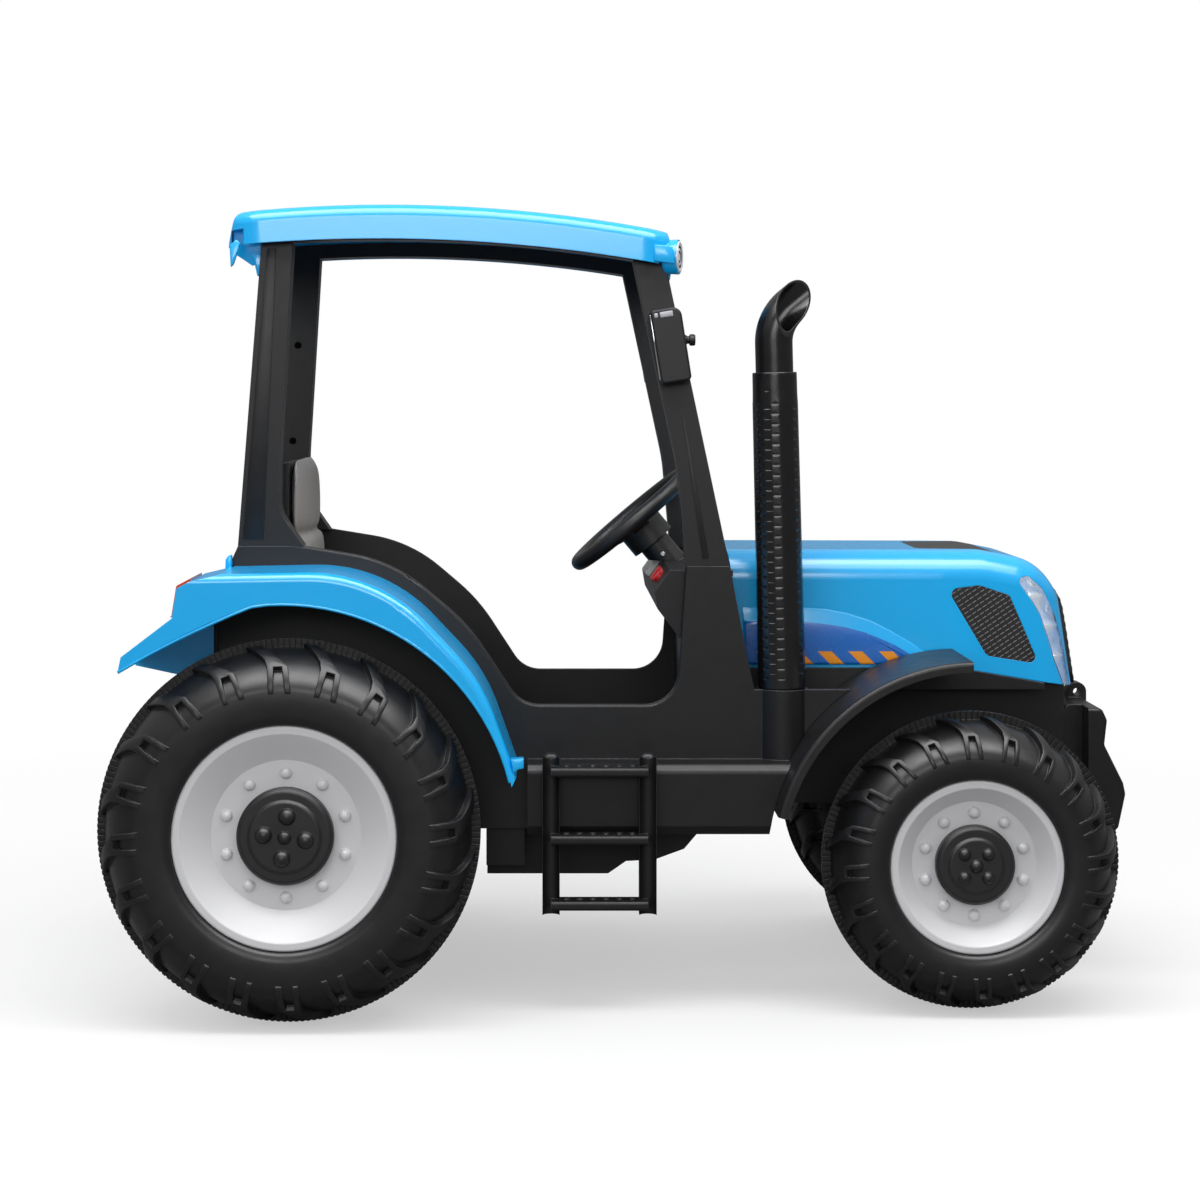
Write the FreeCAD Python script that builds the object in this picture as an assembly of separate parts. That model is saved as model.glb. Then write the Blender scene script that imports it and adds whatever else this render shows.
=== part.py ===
import FreeCAD, Part
import math
import os

Vector = FreeCAD.Vector

# Ride-on tractor toy in millimetres: +X forward, +Y left, +Z up, origin on the ground
# under the middle of the bounding box. Left-hand pieces are built and mirrored.

# Layout of wheels and cab
WHEELBASE = 864.0
FRONT_OVERHANG = 230.0
REAR_TRACK = 650.0
FRONT_TRACK = 512.0
CAB_HALF_WIDTH = 215.0

# Fits shared by all pieces
SEAT_GAP = 0.3
RUN_GAP = 0.06
MOVE_GAP = 1.0
OVERRUN = 6.0
MERGE = 3.0
THROUGH = 700.0
NEAR = 0.02
CORNER_LIMIT_SHARE = 0.48

# Tyres
REAR_TYRE_R = 240.0
REAR_TYRE_W = 150.0
REAR_SHOULDER_R = 192.0
FRONT_TYRE_R = 190.0
FRONT_TYRE_W = 135.0
FRONT_SHOULDER_R = 148.0
TYRE_WALL = 7.0
BEAD_DRAW = 5.0
RIB_RISE = 9.0
RIB_WIDTH = 7.0
LUG_COUNT = 20
LUG_RISE = 8.0
LUG_WIDTH = 15.0
LUG_SPAN_SHARES = (0.09, 0.5, 0.8, 0.95)
LUG_WIDTH_SHARES = (0.8, 1.0, 1.2, 1.75)
LUG_RISE_SHARES = (0.75, 1.0, 0.9, 0.45)
LUG_TOP_SHARE = 0.84
LUG_TURNS = (10.0, 5.6, 1.6, 0.0)

# Rims, hub caps and rear axle
REAR_RIM_R = 139.0
FRONT_RIM_R = 110.0
RIM_LIP = 10.0
RIM_LIP_ROUND = 3.0
RIM_LIP_INSET = 9.0
RIM_BACK_INSET = 14.0
RIM_WALL = 5.0
REAR_DISC_R = 93.0
FRONT_DISC_R = 79.0
DISC_INSET = 36.0
RIM_BOLTS = 10
RIM_BOLT_R = 7.5
REAR_BOLT_RING = 77.0
FRONT_BOLT_RING = 65.0
HUB_R = 20.0
REAR_CAP_R = 60.0
FRONT_CAP_R = 50.0
CAP_RISE = 19.0
CAP_WALL = 4.0
CAP_STEP = 3.0
CAP_EDGE = 4.0
REAR_CAP_DISC_R = 43.0
FRONT_CAP_DISC_R = 33.0
REAR_CAP_DOME_R = 11.0
FRONT_CAP_DOME_R = 8.5
REAR_DOME_RING = 26.0
FRONT_DOME_RING = 21.0
CAP_CENTRE_R = 9.0
REAR_DOME_TURN = 83.0
FRONT_DOME_TURN = 45.0
AXLE_R = 6.0
AXLE_END = 11.0
SPIGOT_R = 14.0
SPIGOT_DEPTH = 24.0
NUT_R = 11.0
NUT_H = 7.0

# Floor pan and belly
FLOOR_Z = 222.0
FLOOR_T = 8.0
REAR_WALL_BACK = 108.0
BELLY_HALF = 150.0
BELLY_WALL = 5.0
BELLY_DEPTH = 74.0
BELLY_REAR = 244.0
BELLY_LENGTH = 296.0
BELLY_SHARES = ((0.0, 0.0), (0.0, 1.0), (0.54, 1.0), (0.62, 0.78), (0.75, 0.75), (0.88, 0.56), (1.0, 0.0))
FLAP_LENGTH = 50.0
FLAP_DEPTH = 50.0
FLAP_T = 12.0

# Side panels and skirts
SIDE_T = 12.0
HAUNCH_Z = 520.0
WAIST_Z = 588.0
PILLAR_BACK = 78.0
DOOR_REAR = 7.0
SILL_REAR = 289.6
SILL_Z = 382.0
POST_LOW = 373.5
POST_TOP = 361.0
COWL_Z = 562.0
POST_FRONT = 304.0
COWL_FOOT = 278.0
COWL_FOOT_Z = 427.0
STEP_FRONT = 272.0
STEP_Z = 402.0
DOOR_ARCH_SHARES = ((0.41, 0.908), (0.761, 0.5))
DOOR_ARCH_ROUND = 260.0
SILL_ROUND = 44.0
SKIRT_REAR = 298.0
SKIRT_HALF = 262.0
SKIRT_TOP_Z = 312.0
SKIRT_EDGE = 9.0
SKIRT_FLANGE = 11.0
SKIRT_TUCK = 5.0
PANEL_ROUND = 3.0

# Rear bulkhead and seat box
SEAT_DECK_Z = 430.0
BULK_T = 8.0
SEAT_BOX_FRONT = 212.0

# Dash
DASH_T = 8.0
DASH_WALL = 353.0
DASH_TOP_DROP = 6.0
DASH_DEPTH = 48.0
DASH_HEIGHT = 90.0
DASH_SHARES = ((0.42, 1.0), (0.0, 0.69), (0.08, 0.44), (0.7, 0.0))
COWL_LID = 54.0
PLAYER_Y = 66.0
PLAYER_HALF = 46.0
PLAYER_REACH = 13.0
PLAYER_T = 8.0

# Nose frame
NOSE_HALF = 92.0
NOSE_WALL = 6.0
NOSE_Z = 235.0
NOSE_REAR = 295.0
DECK_Z = 393.0

# Hood
HOOD_HALF = 137.0
HOOD_WALL = 4.0
HOOD_REAR = 277.0
HOOD_LENGTH = 451.0
HOOD_LOW_Z = 422.0
HOOD_TOP_Z = 579.0
HOOD_DIP = 38.0
HOOD_LEAN_SHARE = 0.15
HOOD_ROUND = 38.0
HOOD_PLAN_SHARES = ((0.62, 1.0), (0.87, 0.93), (0.965, 0.72), (1.0, 0.2))
HOOD_PLAN_ROUND = 60.0
HOOD_TOP_SHARES = ((0.7, 0.985), (0.87, 0.89), (0.955, 0.57), (1.03, 0.0))
HOOD_TOP_ROUND = 90.0
HOOD_LOW_SHARES = ((0.62, 0.0), (0.85, 0.47))
HOOD_LOW_ROUND = 120.0

# Hood inserts
INSERT_ROUND = 9.0
GRILLE_LENGTH = 120.0
GRILLE_HEIGHT = 104.0
GRILLE_REAR = 9.0
GRILLE_LOW_Z = 427.0
GRILLE_SHARES = ((0.0, 0.95), (0.36, 1.0), (0.7, 0.87), (1.0, 0.07), (0.95, 0.0), (0.44, 0.1))
LAMP_LENGTH = 130.0
LAMP_HEIGHT = 170.0
LAMP_REAR = 82.0
LAMP_LOW_Z = 382.0
LAMP_SHARES = ((0.02, 0.92), (0.14, 0.95), (0.31, 0.84), (0.46, 0.62), (0.56, 0.36), (0.63, 0.06),
               (0.54, 0.06), (0.43, 0.27), (0.375, 0.41), (0.27, 0.64), (0.19, 0.74))
LAMP_INNER_Y = 64.0
LAMP_BACK_T = 3.0
LAMP_SEAT = 6.0
NOSE_GRILLE_HALF = 58.0
NOSE_GRILLE_LOW_Z = 390.0
NOSE_GRILLE_TOP_Z = 528.0
NOSE_GRILLE_ROUND = 22.0
NOSE_GRILLE_PROUD = 4.0
VENT_REAR = -42.0
VENT_LENGTH = 104.0
VENT_HALF = 96.0
VENT_TAPER_SHARE = 0.82
VENT_ROUND = 14.0

# Bumper
BUMPER_HALF = 130.0
BUMPER_NECK_HALF = 90.0
BUMPER_LENGTH = 74.0
BUMPER_HEIGHT = 164.0
BUMPER_NECK = 24.0
BUMPER_Z = 203.0
BUMPER_SHARES = ((0.0, 0.0), (0.0, 1.0), (0.57, 1.0), (0.67, 0.9), (0.62, 0.7), (0.96, 0.39), (1.0, 0.3),
                 (0.86, 0.0))
BUMPER_ROUND = 9.0
LUG_EYE_R = 13.0
LUG_BORE_R = 5.0
LUG_EYE_HALF = 12.0
LUG_EYE_BACK = 40.0
LUG_EYE_LIFT = 8.0

# Fenders
FENDER_R = 258.0
FENDER_T = 5.0
FENDER_IN = 146.0
FENDER_OUT = 312.0
FENDER_LIP = 13.0
FENDER_LIP_T = 6.0
FENDER_FROM = 91.0
FENDER_TO = 166.0
WING_OUT = 366.0
WING_T = 5.0
WING_ROUND = 11.0
WING_ARCH_R = 284.0
WING_TIP = 279.0
WING_TIP_Z = 299.0
WING_FRONT = 285.0
WING_FRONT_Z = 311.0
WING_CROWN = 27.0
WING_CROWN_Z = 566.0
WING_BACK = 82.0
WING_BACK_Z = 562.0
LAMP_TOP = 120.0
LAMP_TOP_Z = 553.0
LAMP_CORNER = 135.0
LAMP_CORNER_Z = 545.0
LAMP_FOOT = 141.0
LAMP_FOOT_Z = 508.0
WING_TAIL = 204.0
WING_TAIL_Z = 460.0
WING_END = 208.0
WING_END_Z = 441.0
WING_LIP = 43.0
WING_LIP_Z = 523.0
WING_CHEEK = 210.0
WING_CHEEK_Z = 434.0
WING_CHEEK_LOW = 154.0
WING_CHEEK_LOW_Z = 422.0
WING_CURVE_SHARES = ((0.163, 0.463), (0.667, 1.0))
WING_BEND = 230.0
WING_LOW_SHARE = 0.388
WING_TAIL_SHARE = 0.055
TAIL_LAMP_T = 3.0
TAIL_LAMP_IN = 246.0
TAIL_LAMP_OUT = 350.0

# Cab frames and roof
FRAME_DEPTH = 38.0
ROOF_HALF = 240.0
ROOF_BACK = 92.0
ROOF_FRONT = 373.0
ROOF_EDGE_BACK_Z = 976.0
ROOF_EDGE_FRONT_Z = 949.0
ROOF_EDGE_SHARE = 0.072
ROOF_CROWN_SHARE = -0.075
ROOF_BACK_H = 44.0
ROOF_FRONT_H = 46.0
ROOF_CAP_BACK = 12.0
ROOF_CAP_FRONT = 12.0
ROOF_ROUND = 16.0
ROOF_PLAN_ROUND = 46.0
ROOF_WALL = 6.0
RAIL_H = 20.0
PILLAR_TOP_BACK = 46.0
REAR_PILLAR_WAIST = 24.0
REAR_PILLAR_WAIST_Z = 700.0
REAR_PILLAR_LOW_Z = 632.0
FRONT_PILLAR_BEND = 372.0
FRONT_PILLAR_BEND_Z = 690.0
FRONT_PILLAR_TOP_IN = 430.0
FRONT_PILLAR_TOP_OUT = 391.0
CAB_LAMP_R = 22.0
CAB_LAMP_T = 10.0
CAB_LAMP_Y = 214.0
CAB_LAMP_DROP = 14.0
CAB_LAMP_TURN = 20.0

# Exhaust
STACK_Y = 195.0
STACK_FOOT = 234.4
STACK_LEAN = 9.8
STACK_H = 412.0
STACK_FOOT_R = 31.0
STACK_TOP_R = 29.5
STACK_WALL = 3.0
SOCKET_R = 34.0
SOCKET_H = 92.0
PIPE_R = 24.5
PIPE_WALL = 2.5
PIPE_SINK = 30.0
PIPE_STRAIGHT = 38.0
PIPE_BEND_R = 62.0
PIPE_BEND = 52.0
PIPE_TAIL = 44.0
PIPE_SLASH_LIFT = 88.0
PIPE_SLASH_TURN = 52.0
PIPE_SLASH_TILT = 12.0

# Ladders
POST_R = 11.0
POST_Y = 285.0
POST_REAR = 328.0
POST_SPAN = 123.0
POST_FOOT_Z = 124.0
POST_TOP_Z = 328.0
POST_ROUND = 8.0
TREAD_TOPS = (312.0, 226.0, 143.0)
TREAD_T = 12.0
TREAD_OUT = 294.0
TREAD_ROUND = 4.0
STUD_R = 4.0
STUD_H = 2.0
STUDS = 6

# Steering
WHEEL_BACK = 422.0
WHEEL_Z = 615.0
COLUMN_TILT = 40.0
STEER_R = 97.0
STEER_TUBE_R = 10.5
STEER_HUB_R = 32.0
STEER_HUB_TOP = 10.0
STEER_HUB_H = 34.0
SPOKE_W = 26.0
SPOKE_T = 8.0
SHAFT_R = 7.0
SHAFT_GRIP = 14.0
HORN_R = 17.0
HORN_H = 8.0
HORN_LIFT = 4.0
HORN_TRAVEL = 2.5
COVER_R = 22.0
COVER_H = 40.0
COLLAR_R = 30.0
COLLAR_H = 16.0
CRANK_T = 9.0
CRANK_EYE_R = 11.0
CRANK_PIN_R = 5.0
CRANK_PIN_LOW = 16.0
STEER_RANGE = 36.0
STEER_RATIO_SHARE = 0.68
ARM_LENGTH = 65.0
KINGPIN_Y = 172.0
KINGPIN_R = 6.0
BEAM_HALF = 14.0
BEAM_BOSS_R = 16.0
EAR_T = 8.0
KNUCKLE_PLATE = 10.0
KNUCKLE_PLATE_HALF = 24.0
KNUCKLE_DROP = 26.0
KNUCKLE_REACH = 20.0
STUB_R = 7.0
ARM_W = 18.0
TIE_Z = 176.0
TIE_T = 5.0
TIE_W = 18.0
TIE_EYE_R = 11.0
TIE_PIN_R = 5.0
SLOT_PLAY = 1.2
SLOT_LENGTH = 34.0
SLOT_RIM = 8.0
SHAFT_WAY_R = 24.0

# Driver's controls
PEDAL_Y = -95.0
PEDAL_HALF = 32.0
PEDAL_LENGTH = 80.0
PEDAL_T = 9.0
PEDAL_BACK = 422.0
PEDAL_LIFT = 14.0
PEDAL_LEAN = 50.0
PEDAL_PIN_R = 4.0
PEDAL_EAR_T = 8.0
PEDAL_EAR_R = 10.0
ROCKER_Y = -84.0
ROCKER_HALF = 8.0
ROCKER_REACH = 10.0
ROCKER_SINK = 7.0
ROCKER_RISE = 6.0
ROCKER_PIN_R = 2.0
ROCKER_PIN_SEAT = 5.0
ROCKER_PLAY = 2.5
BUTTON_Y = -126.0
BUTTON_R = 9.0
BUTTON_SINK = 8.0
BUTTON_RISE = 5.0
BUTTON_TRAVEL = 2.5
BUTTON_PLAY = 0.4

# Mirrors
MIRROR_Z = 848.0
MIRROR_X = 382.0
MIRROR_H = 96.0
MIRROR_W = 40.0
MIRROR_T = 30.0
MIRROR_GAP = 5.0
MIRROR_LEAN = 9.0
MIRROR_ROUND = 6.0
MIRROR_PIN_R = 6.0
MIRROR_PIN_IN = 20.0

# Seat
SEAT_SHELL_T = 7.0
SEAT_HALF = 142.0
SEAT_BACK_X = 27.0
SEAT_BACK_TOP_Z = 694.0
PAD_GAP = 0.2
CUSHION_LENGTH = 210.0
CUSHION_H = 56.0
CUSHION_EDGE_SHARE = 0.62
CUSHION_LONG_SHARES = ((0.0, 0.7), (0.12, 0.95), (0.5, 1.0), (0.85, 0.93), (1.0, 0.66))
BACK_HALF = 138.0
BACK_LEVELS_SHARES = ((0.0, 0.74), (0.06, 0.93), (0.25, 1.0), (0.44, 0.93), (0.49, 0.62))
BACK_UPPER_SHARES = ((0.46, 0.55), (0.52, 0.74), (0.72, 0.8), (0.92, 0.7), (1.0, 0.45))
BACK_DEPTH = 31.0
BACK_LOW_Z = 494.0
BACK_TOP_Z = 706.0
BACK_EDGE_SHARE = 0.6

# Drive and power
GEARBOX_LENGTH = 150.0
GEARBOX_BACK = 48.0
GEARBOX_H = 82.0
GEARBOX_T = 50.0
GEARBOX_ROUND = 24.0
BOSS_R = 22.0
MOTOR_R = 21.0
MOTOR_LENGTH = 66.0
MOTOR_X = 64.0
MOTOR_LIFT = 42.0
BATTERY_LENGTH = 92.0
BATTERY_WIDTH = 151.0
BATTERY_H = 98.0
BATTERY_X = 108.0
BATTERY_ROUND = 4.0
BOX_LENGTH = 70.0
BOX_WIDTH = 110.0
BOX_H = 34.0
BOX_X = 230.0

# Places that follow from the sizes above
LENGTH = REAR_TYRE_R + WHEELBASE + FRONT_OVERHANG
REAR_X = REAR_TYRE_R - LENGTH / 2
FRONT_X = REAR_X + WHEELBASE
REAR_Y = REAR_TRACK / 2
FRONT_Y = FRONT_TRACK / 2
FLOOR_TOP = FLOOR_Z + FLOOR_T
REAR_WALL_X = REAR_X - REAR_WALL_BACK
INNER_Y = CAB_HALF_WIDTH - SIDE_T
FRONT_ARCH_R = FENDER_R + SEAT_GAP
RAIL_TOP_GAP = RAIL_H + SEAT_GAP
WHEEL_X = FRONT_X - WHEEL_BACK
UP = Vector(0, 0, 1)
ALONG = Vector(0, 1, 0)
AHEAD = Vector(1, 0, 0)
COLUMN = FreeCAD.Rotation(ALONG, -COLUMN_TILT).multVec(UP)
CRANK_SIDE = FreeCAD.Rotation(ALONG, -COLUMN_TILT).multVec(AHEAD) * -1
WHEEL_CENTRE = Vector(WHEEL_X, 0, WHEEL_Z)


def unit(vector):
    """The direction of a vector."""
    return vector * (1 / vector.Length)


def rounded(before, spot, after, radius):
    """Start, middle and end of the arc that rounds one outline corner."""
    back = unit(before - spot)
    ahead = unit(after - spot)
    half = back.getAngle(ahead) / 2
    limit = CORNER_LIMIT_SHARE * min((before - spot).Length, (after - spot).Length)
    reach = min(radius / math.tan(half), limit)
    sweep = reach * math.tan(half)
    middle = spot + unit(back + ahead) * (sweep / math.sin(half) - sweep)
    return spot + back * reach, middle, spot + ahead * reach


def face_of(points, place):
    """Face through (u, w, corner radius, bow share) points, placed in space."""
    spots = [Vector(p[0], p[1], 0) for p in points]
    turns = []
    for i, p in enumerate(points):
        if len(p) > 2 and p[2] > 0:
            turns.append(rounded(spots[i - 1], spots[i], spots[(i + 1) % len(spots)], p[2]))
        else:
            turns.append((spots[i], None, spots[i]))
    edges = []
    for i, p in enumerate(points):
        arrive, middle, leave = turns[i]
        if middle is not None:
            edges.append(Part.Arc(place(arrive), place(middle), place(leave)).toShape())
        target = turns[(i + 1) % len(points)][0]
        chord = target - leave
        if len(p) > 3 and p[3] != 0:
            bow = (leave + target) * 0.5 + Vector(-chord.y, chord.x, 0) * (p[3] / 2)
            edges.append(Part.Arc(place(leave), place(bow), place(target)).toShape())
        elif chord.Length > NEAR:
            edges.append(Part.makeLine(place(leave), place(target)))
    return Part.Face(Part.Wire(edges))


def side_face(points, y):
    """Face in a side view at one Y."""
    return face_of(points, lambda p: Vector(p.x, y, p.y))


def side_prism(points, y0, y1):
    """Side-view outline extruded across the part."""
    return side_face(points, y0).extrude(Vector(0, y1 - y0, 0))


def plan_prism(points, z0, z1):
    """Plan outline extruded upwards."""
    return face_of(points, lambda p: Vector(p.x, p.y, z0)).extrude(Vector(0, 0, z1 - z0))


def front_prism(points, x0, x1):
    """Front-view outline extruded along the part."""
    return face_of(points, lambda p: Vector(x0, p.x, p.y)).extrude(Vector(x1 - x0, 0, 0))


def box(x0, x1, y0, y1, z0, z1):
    """Box between two corners."""
    return Part.makeBox(x1 - x0, y1 - y0, z1 - z0, Vector(x0, y0, z0))


def rod(start, end, radius):
    """Round bar between two points."""
    return Part.makeCylinder(radius, (end - start).Length, start, end - start)


def spun(points):
    """Wheel-shaped solid from (offset, radius) points about the Y axis."""
    return face_of(points, lambda p: Vector(0, p.x, p.y)).revolve(Vector(0, 0, 0), ALONG, 360)


def joined(shapes):
    """One solid from touching shapes."""
    return shapes[0].multiFuse(shapes[1:]).removeSplitter()


def mirrored(shape):
    """The right-hand copy of a left-hand shape."""
    return shape.mirror(Vector(0, 0, 0), ALONG)


def flat_edges(shape, axis, value):
    """Edges that lie in the plane where one coordinate has a value."""
    edges = []
    for edge in shape.Edges:
        low = getattr(edge.BoundBox, axis + "Min")
        high = getattr(edge.BoundBox, axis + "Max")
        if abs(low - value) < NEAR and abs(high - value) < NEAR:
            edges.append(edge)
    return edges


def softened(shape, radius, edges):
    """Shape with some edges rounded."""
    return shape.makeFillet(radius, edges)


def shared(shares, x, length, z, height, radius=0):
    """Outline points from shares of a length and a height."""
    return [(x + sx * length, z + sz * height, radius) for sx, sz in shares]


def column_placed(shape):
    """Shape built about +Z moved to the steering column, its zero at the wheel's middle."""
    place = FreeCAD.Placement(WHEEL_CENTRE, FreeCAD.Rotation(ALONG, -COLUMN_TILT))
    return shape.transformed(place.toMatrix())


def column_spot(drop):
    """Point on the column's axis at some distance below the wheel's middle."""
    return WHEEL_CENTRE - COLUMN * drop


def save(name, *solids):
    """Write one node."""
    shape = solids[0] if len(solids) == 1 else Part.makeCompound(list(solids))
    shape.exportStep("parts/" + name + ".step")


def save_pair(name, left):
    """Write a left-hand node and its right-hand twin."""
    save("left_" + name, left)
    save("right_" + name, mirrored(left))


# Wheels, built about the Y axis with the outer side at +Y
def lug(half_width, crown_r, shoulder_r, turn, side):
    """One bent bar of the tread, from the middle rib to the shoulder."""
    drop = crown_r - shoulder_r
    bow_r = (half_width * half_width + drop * drop) / (2 * drop)
    wires = []
    for span, wide, rise, swing in zip(LUG_SPAN_SHARES, LUG_WIDTH_SHARES, LUG_RISE_SHARES, LUG_TURNS):
        offset = half_width * span
        lean = math.asin(offset / bow_r)
        radius = crown_r - bow_r + bow_r * math.cos(lean)
        angle = math.radians(turn + swing)
        out = Vector(math.cos(angle), 0, math.sin(angle))
        cross = Vector(-math.sin(angle), 0, math.cos(angle))
        normal = out * math.cos(lean) + ALONG * (side * math.sin(lean))
        middle = out * radius + ALONG * (side * offset)
        foot = middle - normal * MERGE
        top = middle + normal * (LUG_RISE * rise)
        half = cross * (LUG_WIDTH * wide / 2)
        corners = [foot - half, foot + half, top + half * LUG_TOP_SHARE, top - half * LUG_TOP_SHARE]
        wires.append(Part.makePolygon(corners + corners[:1]))
    return Part.makeLoft(wires, True, True)


def tyre(radius, width, shoulder_r, bore_r):
    """Hollow lugged tyre with a rib round its middle."""
    half = width / 2
    crown_r = radius - RIB_RISE
    bow_share = (shoulder_r - crown_r) / half
    outer = spun([(BEAD_DRAW - half, bore_r), (half - BEAD_DRAW, bore_r), (half, shoulder_r, 0, bow_share),
                  (-half, shoulder_r)])
    hollow = half - BEAD_DRAW - TYRE_WALL
    hollow_r = shoulder_r - TYRE_WALL
    inner = spun([(-hollow, bore_r - OVERRUN), (hollow, bore_r - OVERRUN), (hollow, hollow_r, 0, bow_share),
                  (-hollow, hollow_r)])
    rib = spun([(-RIB_WIDTH / 2, crown_r - MERGE), (RIB_WIDTH / 2, crown_r - MERGE),
                (RIB_WIDTH / 2, radius),
                (-RIB_WIDTH / 2, radius)])
    pitch = 360 / LUG_COUNT
    lugs = []
    for i in range(LUG_COUNT):
        lugs.append(lug(half, crown_r, shoulder_r, pitch * i, 1))
        lugs.append(lug(half, crown_r, shoulder_r, pitch * (i + 1 / 2), -1))
    return outer.cut(inner).multiFuse(lugs + [rib])


def rim(width, rim_r, disc_r, bolt_ring, bore_r, hub_end, spigot_end):
    """Dished rim with a barrel, a hub tube and a ring of bolt domes."""
    half = width / 2
    outer_r = rim_r - SEAT_GAP
    lip = half - RIM_LIP_INSET
    back = half - RIM_BACK_INSET
    disc = half - DISC_INSET
    points = [(-back, outer_r), (lip, outer_r, RIM_LIP_ROUND), (lip, outer_r - RIM_LIP, RIM_LIP_ROUND),
              (disc, disc_r), (disc, bore_r), (-spigot_end, bore_r), (-spigot_end, SPIGOT_R),
              (-hub_end, SPIGOT_R),
              (-hub_end, HUB_R), (disc - RIM_WALL, HUB_R), (disc - RIM_WALL, disc_r + RIM_WALL),
              (lip - RIM_LIP, outer_r - RIM_WALL), (-back, outer_r - RIM_WALL)]
    domes = []
    for i in range(RIM_BOLTS):
        angle = math.radians(90 + i * 360 / RIM_BOLTS)
        spot = Vector(bolt_ring * math.cos(angle), disc, bolt_ring * math.sin(angle))
        domes.append(Part.makeSphere(RIM_BOLT_R, spot))
    return joined([spun(points)] + domes).cut(rod(Vector(0, -spigot_end, 0), Vector(0, half, 0), bore_r))


def hub_cap(width, cap_r, disc_r, dome_r, dome_ring, dome_turn):
    """Hollow cap that covers the axle nut, with a raised disc and five domes."""
    base = width / 2 - DISC_INSET
    face = base + CAP_RISE
    shell = spun([(face - CAP_WALL, 0), (face, 0), (face, disc_r, CAP_STEP),
                  (face - CAP_STEP, disc_r + CAP_STEP),
                  (face - CAP_STEP, cap_r - CAP_EDGE, CAP_EDGE), (face - CAP_STEP - CAP_EDGE, cap_r),
                  (base, cap_r), (base, cap_r - CAP_WALL),
                  (face - CAP_WALL - CAP_STEP, cap_r - CAP_WALL - CAP_EDGE),
                  (face - CAP_WALL - CAP_STEP, disc_r)])
    domes = [Part.makeSphere(CAP_CENTRE_R, Vector(0, face - MERGE, 0))]
    for i in range(4):
        angle = math.radians(dome_turn + 90 * i)
        domes.append(Part.makeSphere(dome_r, Vector(dome_ring * math.cos(angle), face - MERGE,
                                                    dome_ring * math.sin(angle))))
    keep = rod(Vector(0, face - CAP_WALL, 0), Vector(0, face + dome_r, 0), disc_r)
    return joined([shell] + [d.common(keep) for d in domes])


def wheels():
    """Four wheels, each a tyre, a rim and a hub cap."""
    rear_at = Vector(REAR_X, REAR_Y, REAR_TYRE_R)
    front_at = Vector(FRONT_X, FRONT_Y, FRONT_TYRE_R)
    hub_end = REAR_Y - CAB_HALF_WIDTH - MOVE_GAP
    save_pair("rear_tyre", tyre(REAR_TYRE_R, REAR_TYRE_W, REAR_SHOULDER_R, REAR_RIM_R).translated(rear_at))
    save_pair("rear_rim", rim(REAR_TYRE_W, REAR_RIM_R, REAR_DISC_R, REAR_BOLT_RING, AXLE_R + RUN_GAP,
                              hub_end, REAR_Y - INNER_Y + SPIGOT_DEPTH).translated(rear_at))
    save_pair("rear_hub_cap",
              hub_cap(REAR_TYRE_W, REAR_CAP_R, REAR_CAP_DISC_R, REAR_CAP_DOME_R, REAR_DOME_RING,
                                      REAR_DOME_TURN).translated(rear_at))
    stub_gap = FRONT_Y - KINGPIN_Y - KNUCKLE_REACH - KNUCKLE_PLATE - MOVE_GAP
    save_pair("front_tyre",
              tyre(FRONT_TYRE_R, FRONT_TYRE_W, FRONT_SHOULDER_R, FRONT_RIM_R).translated(front_at))
    save_pair("front_rim", rim(FRONT_TYRE_W, FRONT_RIM_R, FRONT_DISC_R, FRONT_BOLT_RING, STUB_R + RUN_GAP,
                               stub_gap - SPIGOT_DEPTH, stub_gap).translated(front_at))
    save_pair("front_hub_cap", hub_cap(FRONT_TYRE_W, FRONT_CAP_R, FRONT_CAP_DISC_R, FRONT_CAP_DOME_R,
                                       FRONT_DOME_RING, FRONT_DOME_TURN).translated(front_at))


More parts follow.
